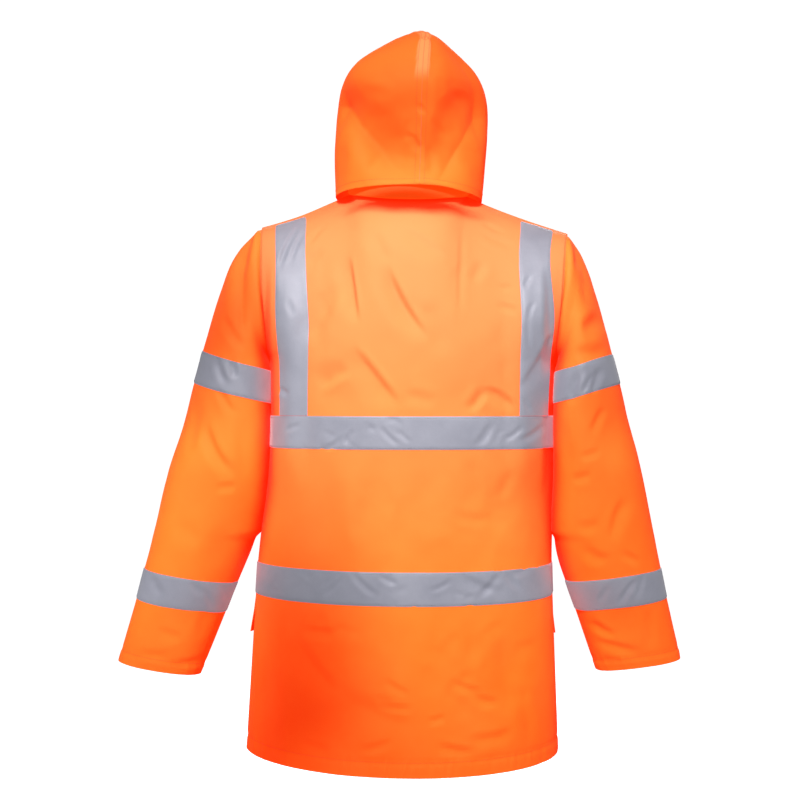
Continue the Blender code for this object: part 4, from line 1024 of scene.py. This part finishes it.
def leanedOn(points, side):
    # the sleeve's inner side drawn towards the body
    if side not in leans:
        leans[side] = leanAt(side)
    heights, *others = leans[side]
    x, y, z = points[..., 0] * (1 if side == "left" else -1), points[..., 1], points[..., 2]
    height = smoothRamp(-z, *lean["top"]) * smoothRamp(z, *lean["end"])
    centre, edge, far, move = (np.interp(z, heights, a) for a in others)
    share = smoothRamp((centre - x) / (centre - edge), 0.0, 1.0)
    # and the back of the upper arm hangs steeper on its outer side
    steep = smoothRamp(x, edge + 0.1 * (far - edge), far) * smoothRamp(-z, 0.04, 0.09)
    steep = lean["steep"] * steep * smoothRamp(z, -0.44, -0.34) * smoothRamp(y, -0.03, 0.04)
    inwards = move if side == "left" else -move
    return points - np.stack([inwards * share * height, steep, 0 * z], axis=-1)


def movedBase(node, cut):
    # the CAD wall's outer face, with what moves it before any crease
    points = smoothGrid(node, cut.levels, cut.wall)
    side = "left" if "left" in node else "right"
    if "sleeve" not in node:
        points = turnedSide(points)
    if node == "back":
        points = easedYoke(points)
    if node in ("back", "tape_chest_back"):
        points = flattenedUnderBrace(points)
    bases[node] = points
    if node.startswith(("sleeve", "tape_upper_sleeve")):
        points = leanedOn(points, side)
    if "brace" in node:
        points = movedBrace(points, side)
    return movedSeam(points) if node.startswith("hood") else points


def heldStill(points, node, height):
    # nothing rises or sinks at a sewn border
    for kind, borders in sewnBorders.items():
        for side in borders.split() if node.startswith(kind) else ():
            if kind == "hood" and side in ("top", hoodMiddle(points)):
                continue  # the middle seam sinks with the folds on both its sides
            height = height * smoothRamp(distanceFrom(points, side), 0.0, heldWidth)
    if "brace" in node:
        ridge = points[..., 2].argmax(axis=0)
        along = distanceFrom(points, "bottom")
        height = height * smoothRamp(abs(along - along[ridge, range(len(ridge))]), 0.0, heldWidth * 1.5)
    return height


def hemHeight(points, node):
    width, rise, groove, pucker = hems[node]
    away = distanceFrom(points, "bottom")
    run = distanceFrom(points, "left")
    waves = np.sin(run * 420 + 2.2 * np.sin(run * 61)) * np.sin(run * 97 + 1.0)
    height = rise * smoothRamp(width - away, 0.0, 0.004)
    height -= groove * np.exp(-(((away - width) / 0.0035) ** 2))
    return height + pucker * waves * np.exp(-(((away - width * 0.75) / (width * 0.5)) ** 2))


def sleeveHead(points, facing):
    # the sleeve's head stands up in a roll beside the armhole seam
    roll, away = armholeRoll, distanceFrom(points, "top")
    bump = smoothRamp(away, 0.0, roll["full"]) * (1 - smoothRamp(away, roll["full"], roll["gone"]))
    bump *= smoothRamp(facing, 0.15, 0.5) * smoothRamp(points[..., 2], roll["lowZ"], roll["highZ"])
    return roll["rise"] * bump


def shapedGrid(node, cut):
    points = movedBase(node, cut)
    if node == "collar":
        return rolledCollar(points)
    normals = gridNormals(points)
    facing = normals[..., 1]
    before = [p for p in cut.parts if isFront(p)]
    behind = [p for p in cut.parts if not isFront(p)]
    height = creaseHeight(points, behind) * smoothRamp(facing, 0.0, 0.35)
    height += creaseHeight(points, before) * smoothRamp(-facing, 0.0, 0.35)
    height = heldStill(points, node, height + crumpleHeight(points))
    for kinds, borders, sink in pressedEdges:
        for side in borders.split() if node.startswith(kinds) else ():
            height -= sink * np.exp(-((distanceFrom(points, side) / 0.0018) ** 2))
    if node in hems:
        height += hemHeight(points, node)
    limit = deepest
    if node.startswith("hood"):
        limit = np.minimum(roomInside(points, normals), deepest)
        normals[..., 0] *= smoothRamp(fromHoodSeam(points), 0.0, 0.012)
        normals /= np.linalg.norm(normals, axis=-1, keepdims=True)
        height += hoodBand["rise"] * bandShare(points)
    if node.startswith("sleeve"):
        height += sleeveHead(points, facing)
    height = np.where(height < 0, -limit * np.tanh(-height / limit), np.minimum(height, highest))
    return points + normals * height[..., None]


for node, cut in cuts.items():
    grid = shapedGrid(node, cut)
    doubled = bandShare(grid) if node.startswith("hood") else None
    obj = meshFromGrid(node + "_cloth", grid, cut.look, doubled)
    giveWall(obj, cut.wall)
    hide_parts(node)
    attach(obj, "jacket")
    sheets[node] = (obj, grid)
    u, v = clothMetres(grid)
    cell = np.cross(np.diff(grid, axis=1)[:-1], np.diff(grid, axis=0)[:, :-1])
    area = np.linalg.norm(cell, axis=-1).sum()
    print(f"{node}: {grid.shape[1]} x {grid.shape[0]} points, {u[-1]:.3f} x {v[-1]:.3f} m, {area:.4f} m2")
print("cloth pieces made:", len(sheets))


def plainCopy(node, name, looksLike, body="jacket"):
    # a CAD part's own form as one merged mesh, laid out in metres for the weave
    bm = mergedMesh(node)
    layer = bm.loops.layers.uv.new("cloth")
    for face in bm.faces:
        for loop in face.loops:
            loop[layer].uv = (loop.vert.co.x, loop.vert.co.z)
    mesh = bpy.data.meshes.new(name)
    bm.to_mesh(mesh)
    bm.free()
    mesh.materials.append(looks[looksLike])
    obj = intoScene(name, mesh)
    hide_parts(node)
    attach(obj, body)
    return obj


for side in sides:
    strip = plainCopy(f"zip_tape_{side}", f"zip_tape_{side}_cloth", "zipCloth")


def borderPath(node, side, inset=0.0, depth=0.0):
    # points and outward normals along one border, inset into the cloth and sunk by depth
    points = sheets[node][1]
    away = turnedGrid(distanceFrom(points, side), side)

    def insetRow(values):
        turned = turnedGrid(values, side)
        columns = zip(away.T, turned.swapaxes(0, 1))
        return np.array([[np.interp(inset, a, t[:, k]) for k in range(3)] for a, t in columns])

    line, facing = insetRow(points), insetRow(gridNormals(points))
    facing /= np.linalg.norm(facing, axis=1, keepdims=True)
    return line - facing * depth, facing


def spaced(line, step, *others):
    # the path's points at even steps, with whatever else belongs to them
    run = np.concatenate([[0], np.cumsum(np.linalg.norm(np.diff(line, axis=0), axis=1))])
    count = max(int(run[-1] / step), 2)
    at = (np.arange(count) + 0.5) * run[-1] / count
    return [np.stack([np.interp(at, run, a[:, k]) for k in range(3)], axis=1) for a in (line, *others)]


def cordAlong(name, lines, radius, looksLike):
    # round cords along paths, as one mesh
    curve = bpy.data.curves.new(name, "CURVE")
    curve.dimensions, curve.bevel_depth, curve.bevel_resolution = "3D", radius, 1
    curve.use_fill_caps = True
    for line in lines:
        spline = curve.splines.new("POLY")
        spline.points.add(len(line) - 1)
        spline.points.foreach_set("co", np.c_[line, np.ones(len(line))].ravel())
    onlySelected(intoScene(name, curve))
    bpy.ops.object.convert(target="MESH")
    obj = bpy.context.object
    obj.data.materials.clear()
    obj.data.materials.append(looks[looksLike])
    obj.data.uv_layers.new(name="cloth")
    bpy.ops.object.shade_smooth()
    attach(obj, "jacket")


def sideNearest(node, axis):
    # the border that keeps nearest to the middle plane (axis 0) or lowest down (axis 2)
    def measure(side):
        value = turnedGrid(sheets[node][1], side)[0, :, axis]
        return abs(value).mean() if axis == 0 else value.mean()
    return min(("left", "right", "top", "bottom"), key=measure)


# seams: a rolled edge of cloth fills each line where two pieces meet
seams = {"radius": 0.0011, "sunk": 0.0009, "step": 0.004}
seamBorders = (
    ("back", "left"), ("back", "right"), ("back", "top"), ("front_left", "top"), ("front_right", "top"),
    ("sleeve_left", "top"), ("sleeve_left", "left"), ("sleeve_right", "top"), ("sleeve_right", "left"),
    ("hood_left", "right"), ("hood_left", "top"), ("collar", "bottom"),
)
lines = [borderPath(node, side, 0.0, seams["sunk"])[0] for node, side in seamBorders]
lines = [spaced(line, seams["step"])[0] for line in lines]
cordAlong("seamRolls", lines, seams["radius"], "orangeCloth")
print("seams rolled:", len(lines))

# stitches: short rounded threads, each sunk a little at its ends
stitch = {"length": 0.0030, "pitch": 0.0042, "radius": 0.00034, "proud": 0.00012}
# zip: two rows of teeth that take turns over the chain, clear of the slider
teeth = {
    "pitch": 0.0030, "long": 0.0030, "wide": 0.0014, "high": 0.0016, "edge": 0.0003,
    "reach": 0.0011, "proud": 0.0002, "sliderZ": (-0.039, -0.021),
}


def smallForm(add, shape, turn=0.0, edge=0.0, **options):
    # a small form's points and triangles
    nothingSelected()
    add(**options)
    form = bpy.context.object
    bpy.ops.object.mode_set(mode="EDIT")
    bpy.ops.mesh.select_all(action="SELECT")
    if turn:
        bpy.ops.transform.rotate(value=turn, orient_axis="Y", center_override=(0, 0, 0))
    bpy.ops.transform.resize(value=shape, center_override=(0, 0, 0))
    if edge:
        bpy.ops.mesh.bevel(offset=edge, segments=1)
    bpy.ops.mesh.quads_convert_to_tris()
    bpy.ops.object.mode_set(mode="OBJECT")
    points = np.array([v.co[:] for v in form.data.vertices])
    faces = np.array([p.vertices[:] for p in form.data.polygons])
    bpy.data.objects.remove(form)
    return points, faces


threadForm = smallForm(
    bpy.ops.mesh.primitive_uv_sphere_add, (stitch["length"] / 2, stitch["radius"], stitch["radius"]),
    turn=math.pi / 2, segments=6, ring_count=4, radius=1,
)


def copiesAlong(name, form, places, tangents, normals, looksLike):
    # one mesh of copies of a form, its x along the tangent and its z along the normal
    template, faces = form
    across = np.cross(normals, tangents)
    across /= np.linalg.norm(across, axis=1, keepdims=True)
    basis = np.stack([np.cross(across, normals), across, normals], axis=1)
    points = places[:, None] + template[None] @ basis
    faces = faces[None] + np.arange(len(places))[:, None, None] * len(template)
    mesh = bpy.data.meshes.new(name)
    mesh.from_pydata(points.reshape(-1, 3).tolist(), [], faces.reshape(-1, faces.shape[-1]).tolist())
    mesh.uv_layers.new(name="cloth")
    mesh.materials.append(looks[looksLike])
    mesh.shade_smooth()
    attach(intoScene(name, mesh), "jacket")


def stitchRows(name, rows, looksLike):
    # a row of stitches along each border named, that far into the cloth
    places, tangents, facings = [], [], []
    for nodes, borders, inset in rows:
        for node, side in ((n, s) for n in nodes for s in borders.split()):
            line, facing = borderPath(node, side, inset)
            line, facing = spaced(line, stitch["pitch"], facing)
            places.append(line + facing * stitch["proud"])
            tangents.append(np.gradient(line, axis=0))
            facings.append(facing)
    arrays = [np.concatenate(a) for a in (places, tangents, facings)]
    copiesAlong(name, threadForm, *arrays, looksLike)
    print(name, len(arrays[0]), "stitches")


def bothSides(kind, borders, inset):
    # borders is the same for both, or given by side
    bySide = borders if isinstance(borders, dict) else dict.fromkeys(sides, borders)
    return [([f"{kind}_{side}"], bySide[side], inset) for side in sides]


zipSide = {side: sideNearest(f"front_{side}", 0) for side in sides}
hoodBottom = {side: sideNearest(f"hood_{side}", 2) for side in sides}
hoodSeams = {"left": "right top", "right": "left top"}
hoodFace = {"left": "left", "right": "right"}
bodyTapes = [node for node in cuts if node.startswith("tape") and "brace" not in node]
rowsOfStitches = {
    "tapeStitches": [(bodyTapes, "bottom top", 0.003), *bothSides("tape_brace", "left right", 0.003)],
    "hemStitches": [
        *(([node], "bottom", hems[node][0]) for node in hems),
        *bothSides("front", zipSide, 0.008), (["collar"], "top bottom", 0.004),
    ],
    "hoodStitches": [
        *bothSides("hood", hoodSeams, 0.0075), *bothSides("hood", hoodFace, 0.020),
        *bothSides("hood", hoodBottom, 0.010),
    ],
    "pocketStitches": [
        *bothSides("pocket", "left right bottom", 0.003),
        *bothSides("pocket_flap", "left right bottom top", 0.003),
    ],
}
for name, rows in rowsOfStitches.items():
    stitchRows(name, rows, "greyThread" if name == "tapeStitches" else "orangeThread")


def unit(vectors):
    return vectors / np.linalg.norm(vectors, axis=1, keepdims=True)


chain = np.array([v.co[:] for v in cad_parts["zip_chain"].data.vertices]).round(5)
chain = np.unique(chain, axis=0)
chain = chain[np.argsort(-chain[:, 2])].reshape(-1, 4, 3)
chainFront = np.array([row[np.argsort(row[:, 1])[:2]].mean(axis=0) for row in chain])
chainLine = spaced(chainFront, teeth["pitch"])[0]
down = unit(np.gradient(chainLine, axis=0))
sideways = unit(np.cross(down, np.array([0, -1.0, 0])))
outward = np.cross(sideways, down)
outward *= np.sign(-outward[:, 1])[:, None]
takesTurns = np.where(np.arange(len(chainLine)) % 2, 1.0, -1.0)[:, None]
places = chainLine + sideways * takesTurns * teeth["reach"] + outward * teeth["proud"]
clear = (chainLine[:, 2] < teeth["sliderZ"][0]) | (chainLine[:, 2] > teeth["sliderZ"][1])
toothForm = smallForm(
    bpy.ops.mesh.primitive_cube_add, (teeth["wide"], teeth["long"], teeth["high"]), edge=teeth["edge"], size=1
)
copiesAlong("zipTeeth", toothForm, places[clear], down[clear], outward[clear], "zipPlastic")
print("zip teeth:", int(clear.sum()))

for node, body in (("zip_slider", "jacket"), ("zip_pull", "pull_tab")):
    metal = plainCopy(node, node + "_metal", "zipMetal", body)
    onlySelected(metal)
    edge = metal.modifiers.new("Edge", "BEVEL")
    edge.width, edge.segments, edge.limit_method = 0.00018, 2, "ANGLE"
    bpy.ops.object.modifier_apply(modifier=edge.name)
    bpy.ops.object.shade_smooth_by_angle(angle=math.radians(40))
plainCopy("zip_chain", "zip_chain_band", "zipPlastic")
